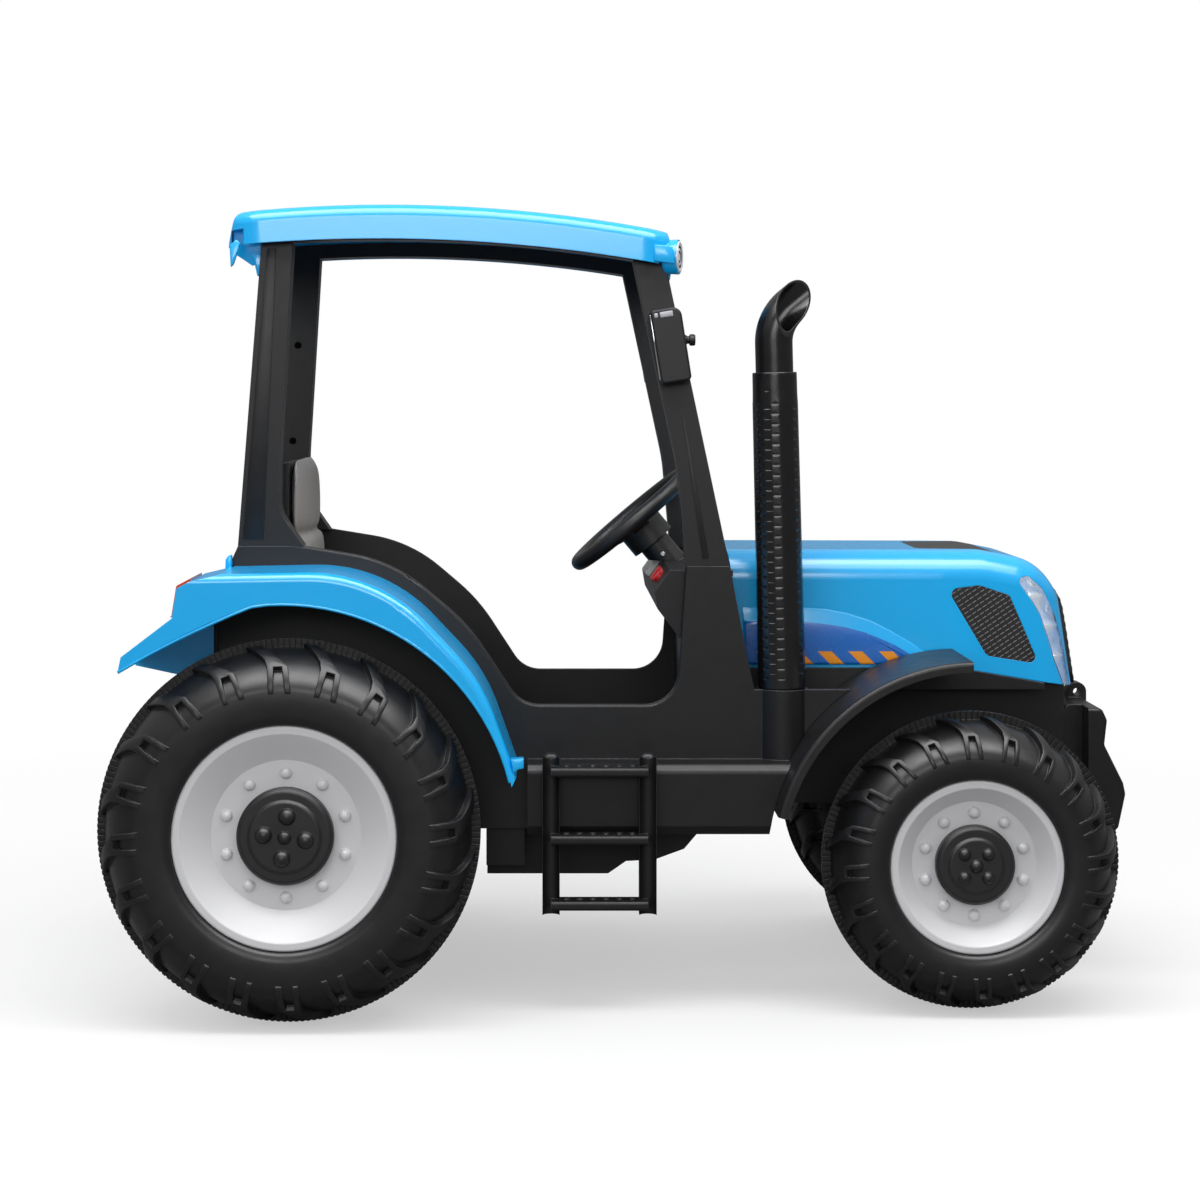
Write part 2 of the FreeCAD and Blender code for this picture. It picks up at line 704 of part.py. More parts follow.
# Drive under the seat box
def drive():
    """Rear axle, gearboxes, motors, battery and control box."""
    disc_y = REAR_Y + REAR_TYRE_W / 2 - DISC_INSET
    end = Vector(REAR_X, disc_y + AXLE_END, REAR_TYRE_R)
    save("rear_axle", rod(Vector(REAR_X, -end.y, REAR_TYRE_R), end, AXLE_R))
    outer = INNER_Y - SEAT_GAP
    inner = outer - GEARBOX_T
    rear = REAR_X - GEARBOX_BACK
    front = rear + GEARBOX_LENGTH
    top = FLOOR_TOP + GEARBOX_H
    axle = Vector(REAR_X, 0, REAR_TYRE_R)
    case = side_prism([(rear, FLOOR_TOP), (front, FLOOR_TOP), (front, top, GEARBOX_ROUND),
                       (rear, top, GEARBOX_ROUND)], inner, outer)
    case = joined([case, rod(axle + ALONG * (outer - MERGE), axle + ALONG * CAB_HALF_WIDTH, BOSS_R)])
    case = case.cut(rod(axle + ALONG * (INNER_Y - SPIGOT_DEPTH - MOVE_GAP),
                        axle + ALONG * (CAB_HALF_WIDTH + OVERRUN),
                        SPIGOT_R + RUN_GAP))
    case = case.cut(rod(axle + ALONG * (inner - OVERRUN), axle + ALONG * CAB_HALF_WIDTH, AXLE_R + SEAT_GAP))
    save("gearboxes", case, mirrored(case))
    motor_at = Vector(REAR_X + MOTOR_X, inner, FLOOR_TOP + MOTOR_LIFT)
    motor = rod(motor_at, motor_at - ALONG * MOTOR_LENGTH, MOTOR_R)
    save("drive_motors", motor, mirrored(motor))
    battery = box(REAR_X + BATTERY_X, REAR_X + BATTERY_X + BATTERY_LENGTH, -BATTERY_WIDTH / 2,
                  BATTERY_WIDTH / 2,
                  FLOOR_TOP, FLOOR_TOP + BATTERY_H)
    save("battery_pack", softened(battery, BATTERY_ROUND, battery.Edges))
    control_x = FRONT_X - BOX_X
    floor = NOSE_Z + NOSE_WALL
    save("control_box", box(control_x, control_x + BOX_LENGTH, -BOX_WIDTH / 2, BOX_WIDTH / 2, floor,
                            floor + BOX_H))


# Tub, side panels and bulkheads
def floor_pan():
    """Floor between the side panels, with the belly below and the pedal's two ears."""
    floor = box(REAR_WALL_X, FRONT_X - DASH_WALL + DASH_T, SEAT_GAP - INNER_Y, INNER_Y - SEAT_GAP, FLOOR_Z,
                FLOOR_TOP)
    rear = REAR_X + BELLY_REAR
    outer = side_prism(shared(BELLY_SHARES, rear, BELLY_LENGTH, FLOOR_Z + MERGE, -BELLY_DEPTH),
                       -BELLY_HALF, BELLY_HALF)
    hollow = side_prism(shared(BELLY_SHARES, rear + BELLY_WALL, BELLY_LENGTH - 2 * BELLY_WALL, FLOOR_Z,
                               BELLY_WALL - BELLY_DEPTH), BELLY_WALL - BELLY_HALF, BELLY_HALF - BELLY_WALL)
    pieces = [floor, outer.cut(hollow)]
    for side in (-1, 1):
        flap_y = side * (INNER_Y - SEAT_GAP)
        inside = flap_y - side * FLAP_T
        pieces.append(box(rear, rear + FLAP_LENGTH, min(flap_y, inside), max(flap_y, inside),
                          FLOOR_Z - FLAP_DEPTH, FLOOR_Z + MERGE))
    hinge_x = FRONT_X - PEDAL_BACK
    hinge_z = FLOOR_TOP + PEDAL_LIFT
    for side in (-1, 1):
        near = PEDAL_Y + side * (PEDAL_HALF + MOVE_GAP)
        far = near + side * PEDAL_EAR_T
        ear = side_prism([(hinge_x - PEDAL_EAR_R, FLOOR_TOP - MERGE),
                          (hinge_x + PEDAL_EAR_R, FLOOR_TOP - MERGE),
                          (hinge_x + PEDAL_EAR_R, hinge_z + PEDAL_EAR_R, PEDAL_EAR_R),
                          (hinge_x - PEDAL_EAR_R, hinge_z + PEDAL_EAR_R, PEDAL_EAR_R)], min(near, far),
                          max(near, far))
        pieces.append(ear.cut(rod(Vector(hinge_x, min(near, far) - OVERRUN, hinge_z),
                                  Vector(hinge_x, max(near, far) + OVERRUN, hinge_z),
                                  PEDAL_PIN_R + RUN_GAP)))
    pan = joined(pieces)
    axle = Vector(REAR_X, 0, REAR_TYRE_R)
    spigot = INNER_Y - SPIGOT_DEPTH - MOVE_GAP
    for side in (-1, 1):
        pan = pan.cut(rod(axle + ALONG * (side * spigot), axle + ALONG * (side * CAB_HALF_WIDTH),
                          BOSS_R + SEAT_GAP))
    return pan


def side_panel(with_socket):
    """Left side of the tub with its doorway, skirt and wheel arch, and the stack's socket if asked."""
    door = (REAR_X + DOOR_REAR, WAIST_Z)
    sill = (REAR_X + SILL_REAR, SILL_Z, SILL_ROUND)
    post = (FRONT_X - POST_TOP, COWL_Z)
    arch = shared(DOOR_ARCH_SHARES, door[0], sill[0] - door[0], SILL_Z, WAIST_Z - SILL_Z, DOOR_ARCH_ROUND)
    wall = side_prism(
        [(REAR_WALL_X, FLOOR_Z), (REAR_WALL_X, HAUNCH_Z), (REAR_X - PILLAR_BACK, WAIST_Z), door] + arch
        + [sill, (FRONT_X - POST_LOW, SILL_Z, SILL_ROUND), post, (FRONT_X - POST_FRONT, COWL_Z),
           (FRONT_X - COWL_FOOT, COWL_FOOT_Z), (FRONT_X - STEP_FRONT, STEP_Z), (FRONT_X, STEP_Z),
           (FRONT_X, FLOOR_Z)],
        INNER_Y, CAB_HALF_WIDTH)
    lip = [e for e in flat_edges(wall, "Y", CAB_HALF_WIDTH) if e.BoundBox.ZMin > SILL_Z - NEAR
           and e.BoundBox.XMin > door[0] - NEAR and e.BoundBox.XMax < post[0] + NEAR]
    wall = softened(wall, PANEL_ROUND, lip)
    skirt = front_prism([
        (CAB_HALF_WIDTH - MERGE, FLOOR_Z), (SKIRT_HALF - SKIRT_TUCK, FLOOR_Z),
        (SKIRT_HALF, FLOOR_Z + SKIRT_FLANGE),
        (SKIRT_HALF, SKIRT_TOP_Z - SKIRT_EDGE, SKIRT_EDGE),
        (SKIRT_HALF - SKIRT_EDGE, SKIRT_TOP_Z, SKIRT_EDGE),
        (CAB_HALF_WIDTH - MERGE, SKIRT_TOP_Z)], REAR_X + SKIRT_REAR, FRONT_X)
    shapes = [wall, skirt]
    if with_socket:
        foot = Vector(FRONT_X - STACK_FOOT, STACK_Y, STEP_Z - SOCKET_H)
        shapes.append(rod(foot, Vector(foot.x, foot.y, STEP_Z), SOCKET_R))
    body = joined(shapes)
    front_axle = Vector(FRONT_X, 0, FRONT_TYRE_R)
    body = body.cut(rod(front_axle, front_axle + ALONG * (SKIRT_HALF + OVERRUN), FRONT_ARCH_R))
    rear_axle = Vector(REAR_X, 0, REAR_TYRE_R)
    return body.cut(rod(rear_axle, rear_axle + ALONG * SKIRT_HALF, BOSS_R + SEAT_GAP))


def rear_bulkhead():
    """Rear wall of the cab and the box that carries the seat."""
    half = INNER_Y - SEAT_GAP
    front = REAR_X + SEAT_BOX_FRONT
    wall = box(REAR_WALL_X, REAR_WALL_X + BULK_T, -half, half, FLOOR_TOP, HAUNCH_Z)
    deck = box(REAR_WALL_X, front, -half, half, SEAT_DECK_Z - BULK_T, SEAT_DECK_Z)
    riser = box(front - BULK_T, front, -half, half, FLOOR_TOP, SEAT_DECK_Z)
    return joined([wall, deck, riser])


def dash_frame():
    """Middle, uphill direction and normal of the dash's sloped control face."""
    wall_x = FRONT_X - DASH_WALL
    spots = shared(DASH_SHARES[:2], wall_x - DASH_DEPTH, DASH_DEPTH, COWL_Z - DASH_TOP_DROP - DASH_HEIGHT,
                   DASH_HEIGHT)
    top = Vector(spots[0][0], 0, spots[0][1])
    low = Vector(spots[1][0], 0, spots[1][1])
    uphill = unit(top - low)
    return (top + low) * 0.5, uphill, Vector(-uphill.z, 0, uphill.x)


def dash_block(y, half, reach, low, high):
    """Block on the dash's sloped face: half width, half reach uphill, and depth from low to high."""
    middle, uphill, normal = dash_frame()
    corners = ((-reach, low), (reach, low), (reach, high), (-reach, high))
    spots = [middle + uphill * u + normal * n for u, n in corners]
    return side_prism([(p.x, p.z) for p in spots], y - half, y + half)


def dash_panel():
    """Firewall, console and cowl lid, with openings for the column, rocker and button."""
    wall_x = FRONT_X - DASH_WALL
    top = COWL_Z - DASH_TOP_DROP
    half = INNER_Y - SEAT_GAP
    shape = side_prism(
        shared(DASH_SHARES, wall_x - DASH_DEPTH, DASH_DEPTH, top - DASH_HEIGHT, DASH_HEIGHT)
        + [(wall_x, top - DASH_HEIGHT), (wall_x, FLOOR_TOP), (wall_x + DASH_T, FLOOR_TOP),
           (wall_x + DASH_T, top - DASH_T), (wall_x + COWL_LID, top - DASH_T), (wall_x + COWL_LID, top)],
           -half, half)
    shape = shape.cut(rod(column_spot(0), column_spot(THROUGH), SHAFT_R + MOVE_GAP))
    middle, uphill, normal = dash_frame()
    shape = shape.cut(dash_block(ROCKER_Y, ROCKER_HALF + SEAT_GAP, ROCKER_REACH + ROCKER_PLAY,
                                 -ROCKER_SINK - ROCKER_PLAY, OVERRUN))
    pin = middle + ALONG * ROCKER_Y
    pin_half = ALONG * (ROCKER_HALF + ROCKER_PIN_SEAT + SEAT_GAP)
    shape = shape.cut(rod(pin - normal * (ROCKER_SINK / 2) - pin_half,
                          pin - normal * (ROCKER_SINK / 2) + pin_half,
                          ROCKER_PIN_R + RUN_GAP))
    button = middle + ALONG * BUTTON_Y
    return shape.cut(rod(button - normal * (BUTTON_SINK + BUTTON_TRAVEL + BUTTON_PLAY),
                         button + normal * OVERRUN,
                         BUTTON_R + BUTTON_PLAY))


def tub():
    """Floor, sides, bulkheads and the parts mounted on the dash."""
    save("floor_pan", floor_pan())
    save("left_side_panel", side_panel(False))
    save("right_side_panel", mirrored(side_panel(True)))
    save("rear_bulkhead", rear_bulkhead())
    save("dash_panel", dash_panel())
    save("player_panel", dash_block(PLAYER_Y, PLAYER_HALF, PLAYER_REACH, 0, PLAYER_T))
    middle, uphill, normal = dash_frame()
    rocker = dash_block(ROCKER_Y, ROCKER_HALF, ROCKER_REACH, -ROCKER_SINK, ROCKER_RISE)
    pin = middle + ALONG * ROCKER_Y - normal * (ROCKER_SINK / 2)
    pin_half = ALONG * (ROCKER_HALF + ROCKER_PIN_SEAT)
    save("direction_switch", joined([rocker, rod(pin - pin_half, pin + pin_half, ROCKER_PIN_R)]))
    button = middle + ALONG * BUTTON_Y
    save("start_button", rod(button - normal * BUTTON_SINK, button + normal * BUTTON_RISE, BUTTON_R))


def pedal():
    """Accelerator plate on its own pin."""
    hinge = Vector(FRONT_X - PEDAL_BACK, 0, FLOOR_TOP + PEDAL_LIFT)
    lean = math.radians(PEDAL_LEAN)
    up = Vector(math.cos(lean), 0, math.sin(lean))
    across = Vector(-up.z, 0, up.x) * (PEDAL_T / 2)
    top = hinge + up * PEDAL_LENGTH
    spots = [hinge - across, top - across, top + across, hinge + across]
    low = PEDAL_Y - PEDAL_HALF
    high = PEDAL_Y + PEDAL_HALF
    plate = side_prism([(p.x, p.z) for p in spots], low, high)
    barrel = rod(hinge + ALONG * low, hinge + ALONG * high, PEDAL_EAR_R - MOVE_GAP)
    reach = MOVE_GAP + PEDAL_EAR_T
    pin = rod(hinge + ALONG * (low - reach), hinge + ALONG * (high + reach), PEDAL_PIN_R)
    save("accelerator_pedal", joined([plate, barrel, pin]))


# Nose, hood and its inserts
def over_hood_edge(drop):
    """Everything above the hood's lower edge, let down by a drop."""
    rear = FRONT_X - HOOD_REAR
    front = rear + HOOD_LENGTH
    points = [(rear - THROUGH, HOOD_LOW_Z - drop)]
    points += shared(HOOD_LOW_SHARES, rear, HOOD_LENGTH, HOOD_LOW_Z - drop, -HOOD_DIP, HOOD_LOW_ROUND)
    points += [(front + HOOD_DIP, HOOD_LOW_Z - HOOD_DIP - drop), (front + HOOD_DIP, HOOD_LOW_Z + THROUGH),
               (rear - THROUGH, HOOD_LOW_Z + THROUGH)]
    return side_prism(points, -THROUGH, THROUGH)


def hood_form(inset, open_under):
    """Filled hood form drawn in by an inset; an open one runs out below and behind."""
    rear = FRONT_X - HOOD_REAR
    back = rear - OVERRUN if open_under else rear
    half = HOOD_HALF - inset
    reach = HOOD_LENGTH - inset
    left = [(rear + sx * reach, sy * half, HOOD_PLAN_ROUND) for sx, sy in HOOD_PLAN_SHARES]
    right = [(x, -y, r) for x, y, r in left]
    low = HOOD_LOW_Z - HOOD_DIP - OVERRUN
    lift = HOOD_TOP_Z + HOOD_DIP - low
    shift = (HOOD_LOW_Z - low) * HOOD_LEAN_SHARE
    plan = face_of([(back, half), (back, -half)] + right + left[::-1],
                   lambda p: Vector(p.x + shift, p.y, low))
    body = plan.extrude(Vector(-HOOD_LEAN_SHARE * lift, 0, lift))
    top = shared(HOOD_TOP_SHARES, rear, HOOD_LENGTH, HOOD_LOW_Z - inset, HOOD_TOP_Z - HOOD_LOW_Z,
                 HOOD_TOP_ROUND)
    lid_rear = rear - THROUGH
    lid = side_prism([(lid_rear, low - OVERRUN), (lid_rear, HOOD_TOP_Z - inset)] + top
                     + [(top[-1][0], low - OVERRUN)], -THROUGH, THROUGH)
    form = body.common(lid)
    crease = []
    for edge in form.Edges:
        spot = Part.Vertex(edge.valueAt((edge.FirstParameter + edge.LastParameter) / 2))
        on_rear = edge.BoundBox.YLength > half and edge.BoundBox.XLength < NEAR
        on_both = body.Shells[0].distToShape(spot)[0] < NEAR and lid.Shells[0].distToShape(spot)[0] < NEAR
        if on_both and not on_rear:
            crease.append(edge)
    form = softened(form, HOOD_ROUND - inset, crease)
    return form if open_under else form.common(over_hood_edge(0))


def hood_patch(prism, proud, depth):
    """Piece of the hood's skin inside a prism, from a rise outside it to a depth below it."""
    return hood_form(-proud, True).cut(hood_form(depth, True)).common(prism).common(over_hood_edge(0))


def drawn_in(face, gap):
    """Face made smaller all round by a gap, or larger if it is negative."""
    return face.makeOffset2D(-gap)


def hood_openings(gap):
    """Left side grille, left lamp, nose grille and top vent as prisms, drawn in by a gap."""
    out = HOOD_HALF + OVERRUN
    grille = side_face(shared(GRILLE_SHARES, FRONT_X - GRILLE_REAR, GRILLE_LENGTH, GRILLE_LOW_Z,
                              GRILLE_HEIGHT,
                              INSERT_ROUND), LAMP_INNER_Y)
    lamp_in = LAMP_INNER_Y + gap
    lamp = side_face(shared(LAMP_SHARES, FRONT_X + LAMP_REAR, LAMP_LENGTH, LAMP_LOW_Z, LAMP_HEIGHT,
                            INSERT_ROUND), lamp_in)
    half = NOSE_GRILLE_HALF
    low = NOSE_GRILLE_LOW_Z
    nose = face_of([(-half, low, NOSE_GRILLE_ROUND), (half, low, NOSE_GRILLE_ROUND),
                    (half, NOSE_GRILLE_TOP_Z, NOSE_GRILLE_ROUND),
                    (-half, NOSE_GRILLE_TOP_Z, NOSE_GRILLE_ROUND)],
                   lambda p: Vector(FRONT_X + LAMP_REAR, p.x, p.y))
    vent_x = FRONT_X + VENT_REAR
    narrow = VENT_HALF * VENT_TAPER_SHARE
    vent = face_of([(vent_x, -narrow, VENT_ROUND), (vent_x + VENT_LENGTH, -VENT_HALF, VENT_ROUND),
                    (vent_x + VENT_LENGTH, VENT_HALF, VENT_ROUND), (vent_x, narrow, VENT_ROUND)],
                   lambda p: Vector(p.x, p.y, NOSE_GRILLE_TOP_Z))
    return (drawn_in(grille, gap).extrude(ALONG * (out - LAMP_INNER_Y)),
            drawn_in(lamp, gap).extrude(ALONG * (out - lamp_in)),
            drawn_in(nose, gap).extrude(AHEAD * THROUGH),
            drawn_in(vent, gap).extrude(UP * THROUGH))


def hood_and_inserts():
    """Hood shell, grilles, vent, headlight lenses and the plates behind the lenses."""
    grille, lamp, nose, vent = hood_openings(0)
    holes = [grille, mirrored(grille), lamp, mirrored(lamp), nose, vent]
    shell = hood_form(0, False).cut(hood_form(HOOD_WALL, True))
    for hole in holes:
        shell = shell.cut(hole)
    save("hood", shell)
    grille, lamp, nose, vent = hood_openings(SEAT_GAP)
    side = hood_patch(grille, 0, HOOD_WALL)
    save("hood_grilles", side, mirrored(side), hood_patch(vent, 0, HOOD_WALL))
    save("front_grille", hood_patch(nose, NOSE_GRILLE_PROUD, HOOD_WALL))
    lens = hood_patch(lamp, 0, HOOD_WALL)
    save("headlight_lenses", lens, mirrored(lens))
    wide = hood_openings(-LAMP_SEAT)[1]
    plate = hood_patch(wide, -HOOD_WALL - SEAT_GAP, HOOD_WALL + SEAT_GAP + LAMP_BACK_T)
    save("headlight_reflectors", plate, mirrored(plate))


def nose_frame():
    """Tub below the hood, with the deck that the hood sits on."""
    rear = FRONT_X - NOSE_REAR
    front = LENGTH / 2 - BUMPER_LENGTH - SEAT_GAP
    low = box(rear, front, -NOSE_HALF, NOSE_HALF, NOSE_Z, HOOD_LOW_Z)
    deck = box(FRONT_X - HOOD_REAR, FRONT_X + GRILLE_LENGTH, -HOOD_HALF, HOOD_HALF, DECK_Z, HOOD_LOW_Z)
    half = NOSE_HALF - NOSE_WALL
    hollow = box(rear - OVERRUN, front - NOSE_WALL, -half, half, NOSE_Z + NOSE_WALL, HOOD_LOW_Z + OVERRUN)
    shape = joined([low, deck]).cut(hollow).cut(over_hood_edge(SEAT_GAP))
    return shape.cut(rod(column_spot(COVER_H), column_spot(THROUGH), SHAFT_WAY_R))


def front_bumper():
    """Weight block on the nose with the eye of the tow lug."""
    rear = LENGTH / 2 - BUMPER_LENGTH
    outline = shared(BUMPER_SHARES, rear, BUMPER_LENGTH, BUMPER_Z, BUMPER_HEIGHT, BUMPER_ROUND)
    block = side_prism(outline, -BUMPER_HALF, BUMPER_HALF)
    for side in (-BUMPER_HALF, BUMPER_HALF):
        block = softened(block, BUMPER_ROUND / 2, flat_edges(block, "Y", side))
    for side in (-1, 1):
        near = side * BUMPER_NECK_HALF
        far = side * (BUMPER_HALF + OVERRUN)
        block = block.cut(box(rear - OVERRUN, rear + BUMPER_NECK, min(near, far), max(near, far), 0,
                              THROUGH))
    eye = Vector(LENGTH / 2 - LUG_EYE_BACK, 0, BUMPER_Z + BUMPER_HEIGHT + LUG_EYE_LIFT)
    half = ALONG * LUG_EYE_HALF
    lug_foot = box(eye.x - LUG_EYE_R, eye.x + LUG_EYE_R, -LUG_EYE_HALF, LUG_EYE_HALF,
                   eye.z - LUG_EYE_R - MERGE, eye.z)
    block = joined([block, rod(eye - half, eye + half, LUG_EYE_R), lug_foot])
    return block.cut(rod(eye - half * 2, eye + half * 2, LUG_BORE_R))


# Fenders and tail lamps
def front_fender():
    """Curved sheet behind and above the left front wheel, with a lip at its outer edge."""
    points = [(FENDER_IN, FENDER_R - FENDER_T), (FENDER_IN, FENDER_R), (FENDER_OUT, FENDER_R, FENDER_T),
              (FENDER_OUT, FENDER_R - FENDER_LIP), (FENDER_OUT - FENDER_LIP_T, FENDER_R - FENDER_LIP),
              (FENDER_OUT - FENDER_LIP_T, FENDER_R - FENDER_T)]
    centre = Vector(FRONT_X, 0, FRONT_TYRE_R)
    face = face_of(points, lambda p: Vector(FRONT_X + p.y, p.x, FRONT_TYRE_R))
    face.rotate(centre, ALONG, -FENDER_FROM)
    sheet = face.revolve(centre, ALONG, FENDER_FROM - FENDER_TO)
    hood_gap = box(FRONT_X - THROUGH, FRONT_X + THROUGH, 0, HOOD_HALF + MOVE_GAP, 0, THROUGH)
    return sheet.cut(hood_gap)


def wing_outline():
    """Side view of the rear fender, front tip first."""
    front = REAR_X + WING_FRONT
    curve = shared(WING_CURVE_SHARES, front, WING_CROWN - WING_FRONT, WING_FRONT_Z,
                   WING_CROWN_Z - WING_FRONT_Z, WING_BEND)
    return [(REAR_X + WING_TIP, WING_TIP_Z), (front, WING_FRONT_Z)] + curve + [
        (REAR_X - WING_BACK, WING_BACK_Z), (REAR_X - LAMP_TOP, LAMP_TOP_Z),
        (REAR_X - LAMP_CORNER, LAMP_CORNER_Z),
        (REAR_X - LAMP_FOOT, LAMP_FOOT_Z), (REAR_X - WING_TAIL, WING_TAIL_Z),
        (REAR_X - WING_END, WING_END_Z, 0, WING_TAIL_SHARE),
        (REAR_X - WING_LIP, WING_LIP_Z, 0, WING_LOW_SHARE)]


def rear_fender():
    """Left rear fender: top sheet, outer band and the inner cheek at its tail."""
    inner = CAB_HALF_WIDTH + SEAT_GAP
    face = side_face(wing_outline(), inner)
    block = face.extrude(ALONG * (WING_OUT - inner))
    hollow = drawn_in(face, WING_T).extrude(ALONG * (WING_OUT - WING_T - inner))
    axle = Vector(REAR_X, inner, REAR_TYRE_R)
    arch = rod(axle, axle + ALONG * (WING_OUT - WING_T - inner), WING_ARCH_R + WING_T)
    top = [e for e in flat_edges(block, "Y", WING_OUT)
           if e.BoundBox.XMin > REAR_X - WING_BACK - NEAR and e.BoundBox.ZMin > WING_FRONT_Z - NEAR]
    block = softened(block, WING_ROUND, top)
    cheek = face.extrude(ALONG * WING_T)
    end = REAR_WALL_X - SEAT_GAP
    tail = box(REAR_X - THROUGH, end, 0, THROUGH, 0, THROUGH)
    plate = side_prism([
        (REAR_X - WING_END, WING_TAIL_Z), (REAR_X - WING_CHEEK, WING_CHEEK_Z),
        (REAR_X - WING_CHEEK_LOW, WING_CHEEK_LOW_Z), (end, WING_CHEEK_LOW_Z), (end, LAMP_FOOT_Z)],
        inner, inner + WING_T)
    return joined([block.cut(hollow).cut(arch), cheek.common(tail), plate])


def tail_lamp():
    """Left tail lens, laid over the corner of the fender's lamp box."""
    face = side_face(wing_outline(), TAIL_LAMP_IN)
    skin = drawn_in(face, -TAIL_LAMP_T).cut(face).extrude(ALONG * (TAIL_LAMP_OUT - TAIL_LAMP_IN))
    room = box(REAR_X - WING_TAIL, REAR_X - LAMP_TOP, 0, WING_OUT, LAMP_FOOT_Z, WING_CROWN_Z)
    return skin.common(room)


# Cab
def roof_edge(x):
    """Level of the roof's lower edge at one X, on its bowed line."""
    x0 = REAR_X - ROOF_BACK
    x1 = FRONT_X - ROOF_FRONT
    chord = Vector(x1 - x0, 0, ROOF_EDGE_FRONT_Z - ROOF_EDGE_BACK_Z)
    rise = ROOF_EDGE_SHARE * chord.Length / 2
    bow_r = (chord.Length * chord.Length / 4 + rise * rise) / (2 * rise)
    across = unit(Vector(-chord.z, 0, chord.x))
    centre = Vector(x0, 0, ROOF_EDGE_BACK_Z) + chord * 0.5 + across * (rise - bow_r)
    return centre.z + math.sqrt(bow_r * bow_r - (x - centre.x) ** 2)


def roof_bow(x0, x1):
    """Bow share of the roof's lower edge between two X values."""
    sag = roof_edge((x0 + x1) / 2) - (roof_edge(x0) + roof_edge(x1)) / 2
    return 2 * sag / (x1 - x0)


def cab_frame():
    """Left side of the cab: rear pillar, top rail and front pillar in one piece."""
    back = REAR_X - PILLAR_TOP_BACK
    front = FRONT_X - FRONT_PILLAR_TOP_OUT
    door_front = FRONT_X - FRONT_PILLAR_TOP_IN
    door_back = REAR_X - DOOR_REAR
    points = [
        (REAR_X - PILLAR_BACK, WAIST_Z), (back, roof_edge(back) + RAIL_H, 0, roof_bow(back, front)),
        (front, roof_edge(front) + RAIL_H), (FRONT_X - POST_FRONT, COWL_Z), (FRONT_X - POST_TOP, COWL_Z),
        (FRONT_X - FRONT_PILLAR_BEND, FRONT_PILLAR_BEND_Z, DOOR_ARCH_ROUND),
        (door_front, roof_edge(door_front), 0, -roof_bow(door_back, door_front)),
        (door_back, roof_edge(door_back)),
        (REAR_X - REAR_PILLAR_WAIST, REAR_PILLAR_WAIST_Z, DOOR_ARCH_ROUND),
        (REAR_X - REAR_PILLAR_WAIST, REAR_PILLAR_LOW_Z, SILL_ROUND), (REAR_X + DOOR_REAR, WAIST_Z)]
    frame = side_prism(points, CAB_HALF_WIDTH - FRAME_DEPTH, CAB_HALF_WIDTH)
    spot = mirror_spot()
    return frame.cut(rod(spot - ALONG * (MIRROR_PIN_IN + MOVE_GAP), spot + ALONG * OVERRUN,
                         MIRROR_PIN_R + RUN_GAP))


def cab_lamp(gap):
    """Left round roof lamp, grown by a gap."""
    turn = math.radians(CAB_LAMP_TURN)
    facing = Vector(math.cos(turn), math.sin(turn), 0)
    face = Vector(FRONT_X - ROOF_FRONT, CAB_LAMP_Y, ROOF_EDGE_FRONT_Z + CAB_LAMP_DROP)
    return rod(face - facing * (CAB_LAMP_T + gap), face + facing * (CAB_LAMP_T / 2), CAB_LAMP_R + gap)


def roof_shell():
    """Crowned roof with a recess below that sits over the cab's rails."""
    rear = REAR_X - ROOF_BACK
    front = FRONT_X - ROOF_FRONT
    side = side_prism([
        (rear, ROOF_EDGE_BACK_Z, 0, ROOF_EDGE_SHARE), (front, ROOF_EDGE_FRONT_Z),
        (front - ROOF_CAP_FRONT, ROOF_EDGE_FRONT_Z + ROOF_FRONT_H, 0, ROOF_CROWN_SHARE),
        (rear + ROOF_CAP_BACK, ROOF_EDGE_BACK_Z + ROOF_BACK_H)], -ROOF_HALF, ROOF_HALF)
    plan = plan_prism([(rear, -ROOF_HALF, ROOF_PLAN_ROUND), (front, -ROOF_HALF, ROOF_PLAN_ROUND),
                       (front, ROOF_HALF, ROOF_PLAN_ROUND), (rear, ROOF_HALF, ROOF_PLAN_ROUND)], 0, LENGTH)
    roof = side.common(plan)
    crown = ROOF_EDGE_BACK_Z + ROOF_BACK_H
    rims = [e for e in roof.Edges if e.BoundBox.ZMin > ROOF_EDGE_FRONT_Z + ROOF_FRONT_H - NEAR
            and e.BoundBox.ZMax > ROOF_EDGE_FRONT_Z + ROOF_FRONT_H]
    roof = softened(roof, ROOF_ROUND, [e for e in rims if e.BoundBox.ZMin < crown + ROOF_ROUND])
    back = rear + ROOF_WALL
    ahead = front - ROOF_WALL
    half = ROOF_HALF - ROOF_WALL
    gap = RAIL_TOP_GAP
    recess = side_prism([(back, roof_edge(back) - ROOF_BACK_H),
                         (back, roof_edge(back) + gap, 0, roof_bow(back, ahead)),
                         (ahead, roof_edge(ahead) + gap), (ahead, roof_edge(ahead) - ROOF_BACK_H)], -half,
                         half)
    roof = roof.cut(recess)
    return roof.cut(cab_lamp(SEAT_GAP)).cut(mirrored(cab_lamp(SEAT_GAP)))


def mirror_spot():
    """Where the left mirror's pin leaves the front pillar."""
    return Vector(FRONT_X - MIRROR_X, CAB_HALF_WIDTH, MIRROR_Z)


